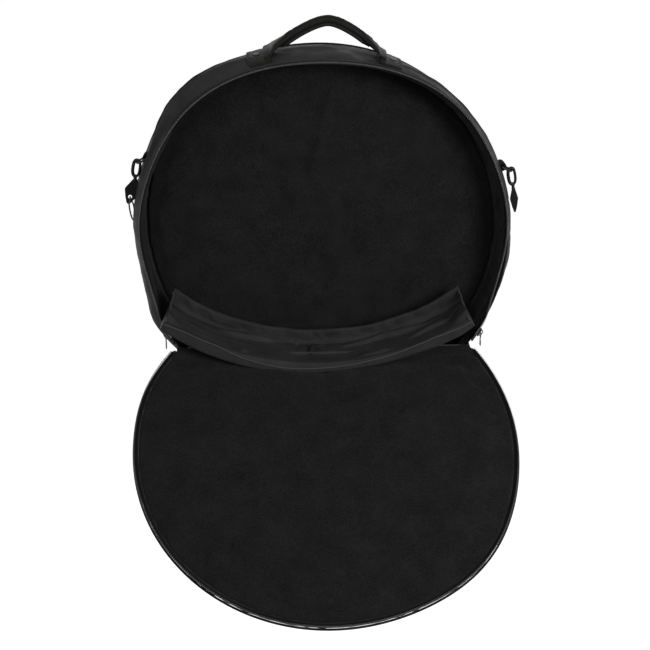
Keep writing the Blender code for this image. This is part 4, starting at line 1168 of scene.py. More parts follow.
class BagCradle(bpy.types.Operator):
    """Padded tray over the fold, its ends and bindings, the fold's cloth and the apron"""

    bl_idname = "bag.cradle"
    bl_label = "Cradle"

    # The front edge's radius and the fleece's lower radius, each at angles round the tray's middle
    EDGE = (
        (-34, -31, -28, -21, -15, -6, 6, 19, 24, 30, 34),
        (0.438, 0.434, 0.4305, 0.431, 0.438, 0.4425, 0.438, 0.4325, 0.431, 0.436, 0.438),
    )
    LOW = (
        (-32, -27, -21, -15, -6, 6, 19, 24, 29, 32),
        (0.447, 0.450, 0.452, 0.4525, 0.4515, 0.447, 0.446, 0.449, 0.450, 0.447),
    )
    STRETCH = 1.04
    UNDER = CRADLE_RADIUS + CRADLE_PAD

    def execute(self, context):
        self.tray()
        self.cord()
        for side, sign in SIDES:
            self.end(side, sign)
        self.sling()
        for side, sign in SIDES:
            self.flap(
                f"fold_flap_{side}", "fleece", sorted([CRADLE_X + sign * 0.156, sign * 0.2345]),
                [(-0.0440, -0.5130), (-0.0445, -0.5020), (-0.0490, -0.4965)],
                [(-0.0020, 0.003), (-0.0034, 0.010), (-0.0062, 0.018), (-0.0090, 0.028)],
            )
        self.flap(
            "fold_cover", "leathercloth", [-0.2335, 0.2335],
            [(-0.0526, -0.5170), (-0.0530, -0.5100), (-0.0536, -0.5035)],
            [(-0.0142, 0.014), (-0.0146, 0.022), (-0.0146, 0.034)],
        )
        self.apron()
        return {"FINISHED"}

    def place(self, angle, radius, y):
        """Round the tray's own middle; the angle is stretched towards the lip and at the front, where the
        cloth of the corners spreads."""
        angle, radius, y = np.broadcast_arrays(angle, radius, y)
        stretch = np.interp(radius, [CRADLE_RADIUS - CRADLE_LIP, CRADLE_RADIUS], [1.075, self.STRETCH])
        below = 1 + 0.045 * (1 - step(-0.055, -0.040, y))
        share = np.clip((radius - CRADLE_RADIUS) / CRADLE_PAD, 0, 1)
        a = np.radians(angle * (stretch + (below - self.STRETCH) * share))
        return np.stack([CRADLE_X + radius * np.sin(a), y, CRADLE_Z - radius * np.cos(a)], -1)

    def edge_radius(self, angle):
        """Radius of the pale line along the soft front edge."""
        return np.interp(angle, *self.EDGE)

    def edge_drop(self, angle):
        """How far the front edge lies below the tray, less the edge's own rounding."""
        return self.edge_radius(angle) - CRADLE_RADIUS - 0.003

    def folds(self, along, y):
        """Creases of the nylon: each is a ridge with a groove in front of it. A star of puckers gathers
        where the padding is tacked."""
        total = 0.0007 * noise(along * 46 + 11, y * 12 + 3, 81, 3) + creases(along, y, TRAY_STAR)
        for line, width, height in TRAY_FOLDS:
            ahead = [(a, b - 1.5 * width) for a, b in line]
            total += crease(along, y, line, width, height) - crease(along, y, ahead, width, 0.9 * height)
        return total

    def section(self):
        """The closed section as (radius, y): up the rear wall, over its soft edge, down into the tray,
        forward to the pale line, down the fleece front and back underneath."""
        top, under, back, front = CRADLE_RADIUS, self.UNDER, CRADLE_BACK_Y, CRADLE_FRONT_Y
        lip = top - CRADLE_LIP
        return resample([
            (under - 0.001, back), (top - 0.004, back), (lip + 0.003, back), (lip + 0.0006, back - 0.0010),
            (lip, back - 0.0028), (lip + 0.0008, back - 0.0046), (lip + 0.004, back - 0.0058),
            (top - 0.007, back - 0.0068), (top - 0.0015, back - 0.0100), (top, back - 0.016),
            (top, front + 0.009), (top + 0.0008, front + 0.0030), (top + 0.0030, front + 0.0006),
            (top + 0.0050, front), (under - 0.003, front), (under, front + 0.004), (under, -0.04),
        ], 150, closed=True)

    def tray(self):
        """The section carried along the tray, with its front drawn to the edge's and the lower line's
        radii, the nylon's folds, the ends turned up and the rear wall's cloth waved."""
        top, back, front = CRADLE_RADIUS, CRADLE_BACK_Y, CRADLE_FRONT_Y
        lip = top - CRADLE_LIP
        angle = np.linspace(-CRADLE_HALF, CRADLE_HALF, 260)[:, None]
        radius, y = (np.broadcast_to(v, (260, 150)) for v in self.section().T)
        along = np.radians(angle) * top
        on_tray = step(front + 0.004, front + 0.012, y) * (1 - step(back - 0.010, back - 0.005, y))
        on_tray = on_tray * (radius < top + 0.0005)
        ahead = 1 - step(front + 0.002, front + 0.022, y)
        share = np.clip((radius - top) / CRADLE_PAD, 0, 1)
        drawn = self.edge_drop(angle) * np.where(share > 0, np.clip(share * 3, 0, 1) * (1 - share), 0.8)
        lowered = (np.interp(angle, *self.LOW) - self.UNDER) * share
        radius = radius + (drawn + lowered) * ahead - self.folds(along, y) * on_tray
        turned_up = 0.0120 * step(CRADLE_HALF - 5.0, CRADLE_HALF, np.abs(angle)) * on_tray
        radius = radius - turned_up * (1 - 0.75 * step(back - 0.02, front + 0.01, back + front - y))
        wall = (1 - step(top - 0.010, top - 0.002, radius)) * (y < back - 0.001)
        y = y - 0.0016 * noise(along * 60, radius * 50, 91, 2) * wall
        radius = radius - 0.0011 * noise(along * 34, y * 0, 95, 2) * (radius < lip + 0.004)
        corner = step(0.80, 1.0, np.abs(angle) / CRADLE_HALF)
        radius = radius - 0.0035 * corner * (radius < lip + 0.006)
        uv = pairs(along, np.linspace(0, 0.26, 150)[None, :])
        points = self.place(angle, radius, y)
        body = grid_object("cradle_pad", points, get("nylon"), wrap_v=True, uv=uv, cap_u=True)

        def lined(centre):
            r = np.hypot(centre[:, 0] - CRADLE_X, centre[:, 2] - CRADLE_Z)
            a = np.degrees(np.arcsin(np.clip((centre[:, 0] - CRADLE_X) / r, -1, 1))) / self.STRETCH
            below_line = (centre[:, 1] < front + 0.004) & (r > self.edge_radius(a))
            return below_line | (r > self.UNDER - 0.004)

        # Faces below the pale line take the paler copy of the fleece: painted light on the downward facing
        # front.
        dress(body, [get("nylon"), get("front_fleece")], lined)
        riding(body, "shell", "nylon", "cradle_liner", "cradle_padding", "cradle_cover")
        flattening(body)

    def cord(self):
        """The pale line along the tray's soft front edge: a cord, its pale tone partly painted highlight."""
        turn = np.linspace(-CRADLE_HALF, CRADLE_HALF, 260)
        radius = self.edge_radius(turn) + 0.0004 * noise(turn / 5, 0 * turn, 17, 2)
        path = self.place(turn, radius, CRADLE_FRONT_Y - 0.0002)
        cord = tube("cradle_cord", path, 0.00125, get("binding"), sides=10)
        riding(cord, "shell", "pale_binding", "cradle_piping")
        flattening(cord)

    def end(self, side, sign):
        """An upright end wall: a sheet that leans in a little, bound along its upper edge."""
        share = np.linspace(0, 1, 40)[:, None]
        back = CRADLE_BACK_Y - 0.006
        y = back - share * (back - CRADLE_FRONT_Y)
        height = np.linspace(0, 1, 14)[None, :] * (0.0015 + 0.0175 * (1 - share) ** 0.75)
        lean = 0.0004 + 0.0014 * noise(share * 6 + sign, height * 200, 27, 2)
        sunk = self.edge_drop(sign * CRADLE_HALF) * share**3
        inwards = np.array([-sign, 0, 0.0])
        near = self.place(sign * CRADLE_HALF, CRADLE_RADIUS + sunk - height, y) + inwards * lean[..., None]
        far = (near + 0.0026 * inwards)[:, ::-1]
        uv = pairs(share * 0.08, np.linspace(0, 0.04, 28)[None, :])
        points = np.concatenate([near, far], 1)
        wall = grid_object(f"cradle_side_{side}", points, get("nylon"), wrap_v=True, uv=uv, cap_u=True)
        riding(wall, "shell", "nylon", f"cradle_end_{side}")
        flattening(wall)
        middle = (near[:, -1] + far[:, 0]) / 2 + np.array([0, 0, 0.0007])
        # The trim takes the binding's pale tone, which is partly painted highlight.
        trim = tube(f"cradle_trim_{side}", middle, 0.0017, get("binding"), sides=12, flat=0.7)
        riding(trim, "shell", "pale_binding", f"cradle_binding_{side}")
        flattening(trim)

    def sling(self):
        """The cloth stretched under the cradle."""
        angle = np.linspace(-21.5, 21.5, 120)[:, None]
        y = np.linspace(-0.088, -0.040, 30)[None, :]
        radius = self.UNDER + 0.0006 + 0.0004 * noise(angle, y * 80, 33, 2)
        upper = self.place(angle, radius, y)
        lower = self.place(angle, radius + 0.0012, y)[:, ::-1]
        points = np.concatenate([upper, lower], 1)
        sling = grid_object("fold_cloth", points, get("fleece"), wrap_v=True, cap_u=True)
        riding(sling, "shell", "fleece", "fold_sling")
        flattening(sling)

    def flap(self, name, kind, span, body_line, lid_line):
        """Cloth across the fold: a line of (y, z) places on the body goes on along (y, z) places of the
        closed lid's frame, drawn through the fold by resampling, and is carried across the bag. On the
        lid it widens to the lid's lining."""
        half = max(np.abs(span))
        x = np.linspace(*span, 160)[:, None]
        on_lid = lid_world([(0, y, z) for y, z in lid_line])[:, 1:]
        line = resample(np.vstack([body_line, on_lid]), 40)
        up = lid_local(np.stack([0 * line[:, 0], *line.T], -1))[:, 2]
        rim = np.sqrt((LID_LINING_RADIUS - 0.0015) ** 2 - (FOLD_DROP - np.clip(up, 0, 1)) ** 2)
        reach = np.where(up > 0.001, np.maximum(rim, half), half)
        soften(line)
        bend = unit(np.gradient(line, axis=0))
        out = np.stack([-bend[:, 1], bend[:, 0]], -1)
        share = np.linspace(0, 1, 40)[None, :]
        ripple = 0.0005 * noise(x * 60 + 3, share * 3, 47, 2) * np.sin(np.pi * share)
        top = line + ripple[..., None] * out
        low = (top - 0.0011 * out)[:, ::-1]
        across = x / half * np.concatenate([reach, reach[::-1]])
        points = np.concatenate([across[..., None], np.concatenate([top, low], 1)], -1)
        made = grid_object(name, points, get(kind), wrap_v=True, cap_u=True)
        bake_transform(made)

    def apron(self):
        """The padded segment below the fold: a circle cut off above, crowned outwards."""
        middle = FOLD_Z - 0.055
        outline = cut_circle(0.2868, middle, FOLD_Z - 0.0175, CENTRE_Z, 14.0)

        def outer(x, z, h):
            out = 0.0006 * noise(x * 25 + 5, z * 25 + 5, 37) * (h < 0.001)
            return np.stack([x, FRONT_Y + 0.0004 + h + np.abs(out), middle + z], -1)

        def inner(x, z, h):
            rise = 0.0008 * noise(x * 25 + 5, z * 25 + 5, 39) * (h > 0.005)
            return np.stack([x, FRONT_Y + 0.0022 + h + rise, middle + z], -1)

        cover = pad("apron_cloth", outline, outer, 0.0014, get("leathercloth"), 0.0006, 200, 30)
        riding(cover, "shell", "leathercloth", "apron_panel")
        quilt = pad(
            "apron_quilt", lambda angle: outline(angle) - 0.001, inner, 0.0082, get("fleece"), 0.002, 200, 30
        )
        riding(quilt, "shell", "fleece", "apron_padding", "apron_lining")


class BagHandle(bpy.types.Operator):
    """Rolled grip, its flap, its tongues, the patches, the keepers, the rivets and their stitches"""

    bl_idname = "bag.handle"
    bl_label = "Handle"

    def execute(self, context):
        pitch = context.scene.bag_sizes.stitch_pitch
        self.grip()
        self.flap(pitch)
        for side, sign in SIDES:
            self.tongue(side, sign)
            self.patch(side, sign, pitch)
            self.keeper(side, sign)
            self.rivet(side, sign)
        return {"FINISHED"}

    def grip(self):
        """A round, slightly worn section along the drawn up line, slimmer at its ends."""
        x, s = np.linspace(-0.072, 0.072, 190), np.linspace(0, 1, 190)
        line = np.stack([x, 0 * x, grip_height(x)], -1) + HANDLE_SHIFT
        wear = 0.00022 * noise(s * 40, 0 * s, 13, 3)
        radius = (GRIP_RADIUS + wear) * (1 - 0.35 * step(0.066, 0.072, np.abs(x)))
        grip = tube("grip", line, radius, get("leather"), sides=32)
        riding(grip, "handle", "leather", "handle_grip")

    def flap(self, pitch):
        """The seam's flap below the grip, with a row of stitches on each side: it is turned a little to
        the front, more so towards the right, and fades at its ends."""
        x, s = np.linspace(-0.0700, 0.0700, 190), np.linspace(0, 1, 190)
        line = np.stack([x, 0 * x, grip_height(x)], -1)
        down = frames(line)[2]
        down *= -np.sign(down[:, 2:3])
        tilt = np.radians(14 + 20 * step(-0.02, 0.06, x))[:, None]
        away = np.cos(tilt) * down - np.sin(tilt) * ALONG_Y
        flank = unit(np.cross(away, np.gradient(line, axis=0)))
        middle = line + away * (GRIP_RADIUS + 0.0006) + HANDLE_SHIFT
        turn = np.linspace(0, TAU, 20, endpoint=False)
        half, deep = 0.0026, 0.0031
        across = squircle(turn, 3.5) * np.cos(turn) * half
        along = squircle(turn, 3.5) * np.sin(turn) * deep
        wavy = 1 + 0.05 * noise(s * 60, 0 * s, 23, 2)
        ends = 1 - 0.85 * step(0.060, 0.0700, np.abs(x))
        points = (
            middle[:, None]
            + (wavy[:, None] * across)[..., None] * flank[:, None]
            + (ends[:, None] * along)[..., None] * away[:, None]
        )
        uv = pairs(x[:, None], turn[None] * 0.003)
        flap = grid_object("grip_flap", points, get("leather"), wrap_v=True, uv=uv, cap_u=True)
        riding(flap, "handle", "leather", "handle_seam")
        inner = np.abs(x) < 0.056
        for name, sign in (("front", -1), ("back", 1)):
            out = flank * np.sign(flank[:, 1:2]) * sign
            row = middle + away * 0.0014 + out * (half + 0.00005)
            made = stitches(f"grip_stitches_{name}", row[inner], out[inner], pitch)
            riding(made, "handle", "leather")

    def tongue(self, side, sign):
        """The roll opens out from round to a flat tongue, which runs under the keeper onto the patch and
        follows the wall there."""
        knots = [
            (0.050, grip_height(0.050)), (0.056, grip_height(0.056)), (0.0625, -0.0199), (0.0705, -0.0257),
            (0.0770, -0.0307), (0.0830, -0.0354), (0.0920, -0.0406),
        ]
        line = resample([(x, 0, z) for x, z in knots], 70)
        soften(line)
        x = line[:, 0].copy()
        line[:, 0] *= sign
        _, across, up = frames(line)
        spread = (np.clip((x - 0.052) / 0.031, 0, 1) ** 1.25)[:, None]
        roll = (0.0060 + 0.0010 * step(0.058, 0.067, x))[:, None]
        half = roll * (1 - spread) + 0.0285 * spread
        thick = roll * (1 - spread) + 0.0032 * spread - 0.0016 * step(0.076, 0.084, x)[:, None]
        turn = np.linspace(0, TAU, 64, endpoint=False)[None]
        corner = squircle(turn, 2 + 1.5 * spread)
        points = (
            line[:, None]
            + (half * corner * np.cos(turn))[..., None] * across[:, None]
            + (thick * corner * np.sin(turn))[..., None] * up[:, None]
        )
        at = np.degrees(np.arctan2(line[:, 2] - CENTRE_Z, line[:, 0]))[:, None]
        middle = wall_depth(0.0)
        follow = wall_place(at, wall_depth(points[..., 1])) - wall_place(at, middle)
        follow[..., 1] = 0
        lift = wall_swell(at, middle)[..., None] * wall_out(line[:, None])
        points = points + (follow * spread[..., None] + lift) * spread[..., None] + HANDLE_SHIFT
        uv = pairs(x[:, None], turn * 0.01)
        made = grid_object(f"grip_tongue_{side}", points, get("leather"), wrap_v=True, uv=uv, cap_u=True)
        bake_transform(made)

    def on_patch(self, sign, lift):
        """Puts local x along the wall from the patch's middle and local z across the bag onto the wall."""
        middle = math.degrees(math.acos((0.0990 + sign * HANDLE_SHIFT[0]) / FITTING_RADIUS))
        middle = middle if sign > 0 else 180 - middle

        def place(x, z, h):
            return wall_place(middle - sign * np.degrees(x / FITTING_RADIUS), wall_depth(z), lift + h)

        return place

    def patch(self, side, sign, pitch):
        """A leather patch with two rows of stitches inside its edge."""
        flat = self.on_patch(sign, PATCH_RISE)

        def place(x, z, h):
            return flat(x, z, h + 0.0003 * noise(x * 160 + 7, z * 160 + 7, 19, 2))

        patch = pad(
            f"handle_patch_{side}_leather", rounded(*PATCH_HALF, 11), place, PATCH_THICKNESS, get("leather"),
            0.0009, 180, 34,
        )
        riding(patch, "shell", "leather", f"handle_patch_{side}")
        angle = np.linspace(0, TAU, 240)
        rows = []
        for inset in (0.0022, 0.0046):
            reach = rounded(*(half - inset for half in PATCH_HALF), 11)(angle)
            path = place(reach * np.cos(angle), reach * np.sin(angle), PATCH_THICKNESS + 0.0001)
            rows.append(stitches("row", path, wall_out(path), pitch))
        riding(join(f"handle_patch_{side}_stitches", *rows), "shell", "leather")

    def keeper(self, side, sign):
        """A strap across the tongue: a flat section with two ridges, sewn down at both ends and raised
        over the tongue by a smooth step."""
        place = self.on_patch(sign, PATCH_RISE + PATCH_THICKNESS)
        half, thick = 0.0038, 0.0008
        span = np.linspace(-0.0355, 0.0355, 120)[:, None]
        raised = 1 - step(0.0285, 0.0325, np.abs(span))
        turn = np.linspace(0, TAU, 40, endpoint=False)[None]
        corner = squircle(turn, 4)
        across = half * corner * np.cos(turn)
        ridges = 0.0006 * np.cos(across / half * TAU) ** 2 * (np.sin(turn) > 0)
        ends = np.sqrt(np.clip(1 - (span / 0.0357) ** 16, 0.05, 1))
        height = thick + 0.0029 * raised + (thick * corner * np.sin(turn) + ridges) * ends
        x, z, h = np.broadcast_arrays(across - 0.0130, span, height)
        uv = np.stack([z, x], -1)
        made = grid_object(f"keeper_{side}", place(x, z, h), get("leather"), wrap_v=True, uv=uv, cap_u=True)
        riding(made, "shell", "leather", f"handle_keeper_{side}")

    def rivet(self, side, sign):
        """A low dome: the rise falls with the square of the radius."""
        place = self.on_patch(sign, PATCH_RISE + PATCH_THICKNESS)
        head, edge, rise = 0.0045, 0.0008, 0.0014

        def dome(x, z, h):
            return place(x + 0.0030, z - 0.006, h + rise * (1 - (np.hypot(x, z) / head) ** 2) * (h > 0.0003))

        made = pad(
            f"rivet_{side}", lambda angle: np.full(angle.shape, head), dome, edge, get("bright_metal"),
            0.0003, 40, 10,
        )
        riding(made, "shell", "bright_metal", f"handle_rivet_{side}")


class BagStraps(bpy.types.Operator):
    """Side tabs and the leather ends of the shoulder strap"""

    bl_idname = "bag.straps"
    bl_label = "Strap fittings"

    # Lengths down the clip's neck with the neck's radius there
    NECK = np.array([
        (0.0205, 0.0018), (0.0222, 0.0030), (0.0228, 0.0031), (0.0246, 0.0031), (0.0252, 0.0022),
        (0.0270, 0.0022), (0.0276, 0.0029), (0.0296, 0.0029), (0.0302, 0.0016),
    ])
    # The right half of a strap end's outline, as shares of its half width and of its length
    OUTLINE = np.array([
        (0.12, -0.14), (0.24, -0.13), (0.58, 0.10), (0.96, 0.36), (1.0, 0.40), (0.97, 0.45), (0.62, 0.74),
        (0.24, 0.97), (0.12, 0.995), (0.01, 1.0),
    ])
    HALF_THICKNESS = 0.0013
    HOLE_FROM_TIP = 0.012

    def execute(self, context):
        for (side, sign), turn in zip(SIDES, (180 - 25.0, 21.5)):
            self.side_tab(side, sign, turn)
            self.ring(side)
            self.clip(side)
            self.strap_end(side)
            self.end_tab(side, sign)
        self.wire_loop()
        return {"FINISHED"}

    def side_tab(self, side, sign, turn):
        """Webbing sewn to the wall, whose top turns round the ring's bar and back under itself: an arc
        about the bag's middle goes on as one about the bar."""
        drop = sign * math.degrees(0.052 / FITTING_RADIUS)
        strip = polar(FITTING_RADIUS + 0.0014, turn - drop * np.linspace(1, 0, 60), 0.0)
        bar = polar(FITTING_RADIUS + 0.0046, turn, 0.0)
        out = wall_out(bar)
        up = sign * np.cross(out, ALONG_Y)
        swing = np.linspace(math.pi, -0.75 * math.pi, 50)[1:, None]
        curl = bar + 0.0054 * (np.cos(swing) * out + np.sin(swing) * up)
        path = resample(np.vstack([strip, curl]), 160)
        _, across, normal = frames(path)
        half, thick, bulge = 0.0110, 0.0017, 0.0003
        face = half * np.linspace(-1, 1, 5)
        v = np.concatenate([face, [half + bulge], face[::-1], [-half - bulge]])
        h = thick * np.repeat([-1, 0, 1, 0], [5, 1, 5, 1])
        points = path[:, None] + v[:, None] * across[:, None] + h[:, None] * normal[:, None]
        uv = pairs(np.linspace(0, 0.08, 160)[:, None], v)
        tab = grid_object(f"side_tab_{side}_webbing", points, get("webbing"), wrap_v=True, uv=uv, cap_u=True)
        riding(tab, "shell", "webbing", f"side_tab_{side}")
        rows = []
        for share in (0.30, 0.92):
            line = polar(FITTING_RADIUS + 0.0024, turn - drop * share, np.linspace(-0.0085, 0.0085, 30))
            rows.append(stitches("row", line, wall_out(line), 0.0026))
        riding(join(f"side_tab_{side}_stitches", *rows), "shell", "webbing")

    def ring(self, side):
        """A D: a straight bar in the webbing and a bow out to the clip, both of thick plated wire."""
        bar, bow = JOINT_PLACES[side]["ring"], JOINT_PLACES[side]["clip"]
        out = unit(bow - bar)
        turn = np.linspace(-math.pi / 2, math.pi / 2, 60)
        reach = np.linalg.norm(bow - bar) * np.abs(np.cos(turn)) ** 0.62
        line = resample(pairs(reach, 0.0138 * np.sin(turn)), 90, closed=True)
        path = bar + line[:, :1] * out + line[:, 1:] * ALONG_Y
        up = np.cross(out, ALONG_Y)
        made = tube(f"ring_wire_{side}", path, 0.0016, get("black_metal"), closed=True, sides=14, up=up)
        riding(made, f"ring_{side}", "black_metal", f"d_ring_{side}")

    def clip(self, side):
        """A long oval of thick wire hung on the ring, with a gate's step on one side, and below it the
        swivel's neck with two collars."""
        bow, end = JOINT_PLACES[side]["clip"], JOINT_PLACES[side]["strap_end"]
        down = unit(end - bow)
        turn = np.linspace(0, TAU, 120, endpoint=False)
        corner = squircle(turn, 2.6)
        across = 0.0054 * corner * np.cos(turn)
        along = 0.0087 + 0.0128 * corner * np.sin(turn)
        path = bow + across[:, None] * np.cross(down, ALONG_Y) + along[:, None] * down
        gate = step(0.3, 0.6, np.cos(turn - 0.2)) * (np.sin(turn) > -0.6)
        oval = tube("oval", path, 0.0027 - 0.0005 * gate, get("black_metal"), closed=True, sides=14)
        neck = tube("neck", bow + self.NECK[:, :1] * down, self.NECK[:, 1], get("black_metal"), sides=18)
        riding(join(f"clip_wire_{side}", oval, neck), f"clip_{side}", "black_metal", f"strap_clip_{side}")

    def wire_loop(self):
        """A long thin loop: its top passes through the left end's hole, and its legs turn to lie in the
        picture's plane below."""
        _, down, length, cad_down = self.hang("left")
        top = JOINT_PLACES["left"]["loop"] + (down - cad_down) * (length - self.HOLE_FROM_TIP)
        turn = np.linspace(0, TAU, 160, endpoint=False)
        low = (1 - np.cos(turn)) / 2
        away = step(0.06, 0.35, low)
        swing = 0.0036 * np.sin(turn)
        path = top + np.stack([swing * away + 0.0035 * low, swing * (1 - away), -0.0375 * low - 0.0001], -1)
        made = tube(
            "loop_wire", path, 0.0013, get("bright_metal"), closed=True, sides=12, up=(0.7, 0.7, 0.0)
        )
        riding(made, "loop_left", "bright_metal", "strap_loop_left")

    def hang(self, side):
        """A strap end's top, its axis turned back by a few degrees about the top, its length and the
        solid's own axis, which is the direction in which its points lie furthest apart."""
        cad = corners(frame["nodes"][f"strap_tab_{side}"].data)
        centre = cad.mean(0)
        axis = np.linalg.svd(cad - centre, full_matrices=False)[2][0]
        down = axis * -np.sign(axis[2])
        along = cad @ down
        top = centre + down * (along.min() - centre @ down)
        bend = math.radians(7 if side == "left" else -19)
        c, s = math.cos(bend), math.sin(bend)
        turned = np.array([down[0] * c - down[2] * s, 0, down[0] * s + down[2] * c])
        return top, turned, along.max() - along.min(), down

    def strap_end(self, side):
        """A pointed leather end, with a thick rounded edge and a row of stitches inside it on each face."""
        top, down, length, _ = self.hang(side)
        normal = -ALONG_Y
        across = np.cross(down, normal)
        half = 0.0118 if side == "left" else 0.0066
        outline = np.concatenate([self.OUTLINE, self.OUTLINE[::-1] * (-1, 1)]) * (half, length)
        line = resample(outline, 160, closed=True)
        middle = np.array([0, 0.44 * length])
        holed = side == "left"
        local, rise = self.holed(line, length) if holed else self.whole(line, middle)
        points = on_plane(top, across, down, local, normal, rise * self.HALF_THICKNESS)
        tab = grid_object(f"strap_end_{side}", points, get("leather"), wrap_u=holed, wrap_v=True)
        riding(tab, f"strap_end_{side}", "leather", f"strap_tab_{side}")
        row = middle + (line - middle) * 0.80
        rows = []
        for face in (-1, 1):
            path = on_plane(top, across, down, row, face * normal, self.HALF_THICKNESS + 0.00005)
            path = np.vstack([path, path[:1]])
            outward = np.broadcast_to(face * normal, path.shape)
            rows.append(stitches("row", path, outward, 0.0024, 0.0016, 0.0003, 0.00015))
        riding(join(f"strap_end_{side}_stitches", *rows), f"strap_end_{side}", "leather")

    def whole(self, line, middle):
        """The right end from its middle out to its outline and back, with a rounded edge."""
        arc = np.linspace(0, math.pi, 9)
        out, flat = np.linspace(0, 1, 16)[:-1], np.ones(15)
        share = np.concatenate([out, np.ones(9), out[::-1]])[:, None, None]
        rise = np.concatenate([flat, np.cos(arc), -flat])[:, None, None]
        inset = 0.0009 * np.concatenate([flat, 1 - np.sin(arc), flat])[:, None, None]
        away = line - middle
        return middle + share * (away - inset * unit(away)), rise

    def holed(self, line, length):
        """The left end as a frame from its hole's edge out to its outline and back, with rounded edges."""
        hole = np.array([0, length - self.HOLE_FROM_TIP])
        radius, edge = 0.0030, 0.0008
        arc = np.linspace(0, math.pi, 7)
        flat, one = np.linspace(0, 1, 14), np.ones(14)
        share = np.concatenate([flat, np.ones(7), flat[::-1], np.zeros(7)])[:, None, None]
        rise = np.concatenate([one, np.cos(arc), -one, -np.cos(arc)])[:, None, None]
        push = np.concatenate([0 * one, np.sin(arc), 0 * one, -np.sin(arc)])[:, None, None]
        out = unit(line - hole)
        inner, outer = hole + (radius + edge) * out, line - edge * out
        return inner + share * (outer - inner) + push * edge * out, rise

    def end_tab(self, side, sign):
        """A small leather patch over each end of the zip."""
        half = 0.007
        middle = (-35.0 if sign > 0 else 215.0) + sign * math.degrees(half / ZIP_RADIUS)
        (_, front, _), (_, back, _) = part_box(f"zip_end_tab_{side}")

        def place(x, z, h):
            return polar(ZIP_RADIUS + 0.0012 + h, middle + np.degrees(x / ZIP_RADIUS), (front + back) / 2 + z)

        outline = rounded(half, (back - front) / 2)
        tab = pad(f"zip_stop_{side}", outline, place, 0.0013, get("leather"), 0.0006, 80, 12)
        riding(tab, "shell", "leather", f"zip_end_tab_{side}")


class BagMetal(bpy.types.Operator):
    """Finish of the zip's sliders and pulls"""

    bl_idname = "bag.metal"
    bl_label = "Metal parts"

    def execute(self, context):
        for part in ("zip_slider", "zip_pull"):
            for side, _ in SIDES:
                for slot in frame["nodes"][f"{part}_{side}"].material_slots:
                    slot.material = get("bright_metal")
        return {"FINISHED"}


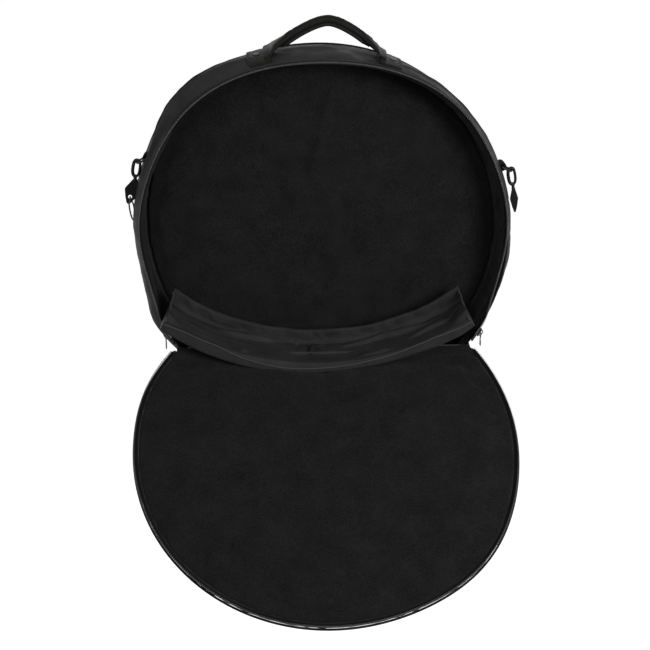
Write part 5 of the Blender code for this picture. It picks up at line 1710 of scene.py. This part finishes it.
class BagStageMake(bpy.types.Operator):
    """Camera, lights, floor and background"""

    bl_idname = "bag.stage"
    bl_label = "Stage"

    def execute(self, context):
        scene = context.scene
        stage = scene.bag_stage
        scene.view_settings.view_transform = "Standard"
        self.camera(scene, stage)
        self.light("key", (0.95, -1.65, 0.25), (0, 0, -0.35), 0.7, stage.key_power)
        self.light("front", (-0.7, -2.3, 1.3), (0, 0, -0.4), 1.2, stage.front_power)
        self.light("side", (-1.8, -1.0, 0.4), (0, 0, -0.35), 1.4, stage.side_power)
        self.world()
        self.floor()
        return {"FINISHED"}

    def camera(self, scene, stage):
        """Looks at a place near the fold from the front and above."""
        target = np.array([0.0019, FRONT_Y, FOLD_Z + 0.0357])
        back = np.array([-0.0278, -0.9373, 0.3474])
        camera = bpy.data.objects.new("camera", bpy.data.cameras.new("camera"))
        scene.collection.objects.link(camera)
        scene.camera = camera
        camera.data.lens = stage.lens
        camera.data.sensor_width = 36.0
        camera.data.clip_end = 50
        camera.location = target + stage.distance * back
        camera.rotation_euler = Vector(-back).to_track_quat("-Z", "Y").to_euler()

    def light(self, name, place, target, size, power):
        made = bpy.data.lights.new(name, "AREA")
        made.energy = power
        made.size = size
        obj = bpy.data.objects.new(name, made)
        bpy.context.scene.collection.objects.link(obj)
        obj.location = place
        obj.rotation_euler = (Vector(target) - Vector(place)).to_track_quat("-Z", "Y").to_euler()

    def world(self):
        """Pale light all round, and white to the camera."""
        world = bpy.data.worlds.new("studio")
        bpy.context.scene.world = world
        world.use_nodes = True
        tree = world.node_tree
        plain, white = tree.nodes["Background"], tree.nodes.new("ShaderNodeBackground")
        for node, strength in ((plain, 0.16), (white, 1.0)):
            node.inputs["Color"].default_value = (1, 1, 1, 1)
            node.inputs["Strength"].default_value = strength
        self.for_camera(tree, plain, white, tree.nodes["World Output"])

    def floor(self):
        """A wide plane well below the hanging bag, white to the camera, which still takes its shadow."""
        side = np.linspace(-9, 9, 9)
        x, y = np.meshgrid(side, side + 4, indexing="ij")
        made, tree, shader = finish("floor", (0.8, 0.8, 0.8), 0.9)
        glow = tree.nodes.new("ShaderNodeEmission")
        glow.inputs["Strength"].default_value = 0.85
        lit = tree.nodes.new("ShaderNodeAddShader")
        tree.links.new(glow.outputs[0], lit.inputs[0])
        tree.links.new(shader.outputs[0], lit.inputs[1])
        self.for_camera(tree, shader, lit, tree.nodes["Material Output"])
        grid_object("floor", np.stack([x, y, 0 * x - 1.5], -1), made)

    def for_camera(self, tree, plain, bright, output):
        """Gives the output the plain shader, and the bright one to rays from the camera and to mirrored
        and transmitted ones."""
        path = tree.nodes.new("ShaderNodeLightPath").outputs
        both = math_node(tree, "MAXIMUM", path["Is Camera Ray"], path["Is Glossy Ray"])
        mix = tree.nodes.new("ShaderNodeMixShader")
        tree.links.new(math_node(tree, "MAXIMUM", both, path["Is Transmission Ray"]), mix.inputs["Fac"])
        tree.links.new(plain.outputs[0], mix.inputs[1])
        tree.links.new(bright.outputs[0], mix.inputs[2])
        tree.links.new(mix.outputs[0], output.inputs["Surface"])


PIECES = (BagWall, BagBack, BagZip, BagLid, BagCradle, BagHandle, BagStraps, BagMetal, BagStageMake)


class BagPanel(bpy.types.Panel):
    """Lists the bag's pieces in the sidebar"""

    bl_idname = "BAG_PT_pieces"
    bl_label = "Cymbal bag"
    bl_space_type = "VIEW_3D"
    bl_region_type = "UI"
    bl_category = "Bag"

    def draw(self, context):
        scene = context.scene
        for operator in PIECES:
            self.layout.operator(operator.bl_idname)
        for group in (scene.bag_sizes, scene.bag_colours, scene.bag_stage):
            for name in group.__annotations__:
                self.layout.prop(group, name)


CLASSES = (BagSizes, BagColours, BagStage, *PIECES, BagPanel)


def register():
    for made in CLASSES:
        bpy.utils.register_class(made)
    bpy.types.Scene.bag_sizes = bpy.props.PointerProperty(type=BagSizes)
    bpy.types.Scene.bag_colours = bpy.props.PointerProperty(type=BagColours)
    bpy.types.Scene.bag_stage = bpy.props.PointerProperty(type=BagStage)


def unregister():
    del bpy.types.Scene.bag_stage
    del bpy.types.Scene.bag_colours
    del bpy.types.Scene.bag_sizes
    for made in reversed(CLASSES):
        bpy.utils.unregister_class(made)


def main():
    register()
    for operator in PIECES:
        family, name = operator.bl_idname.split(".")
        getattr(getattr(bpy.ops, family), name)()


if __name__ == "__main__":
    main()
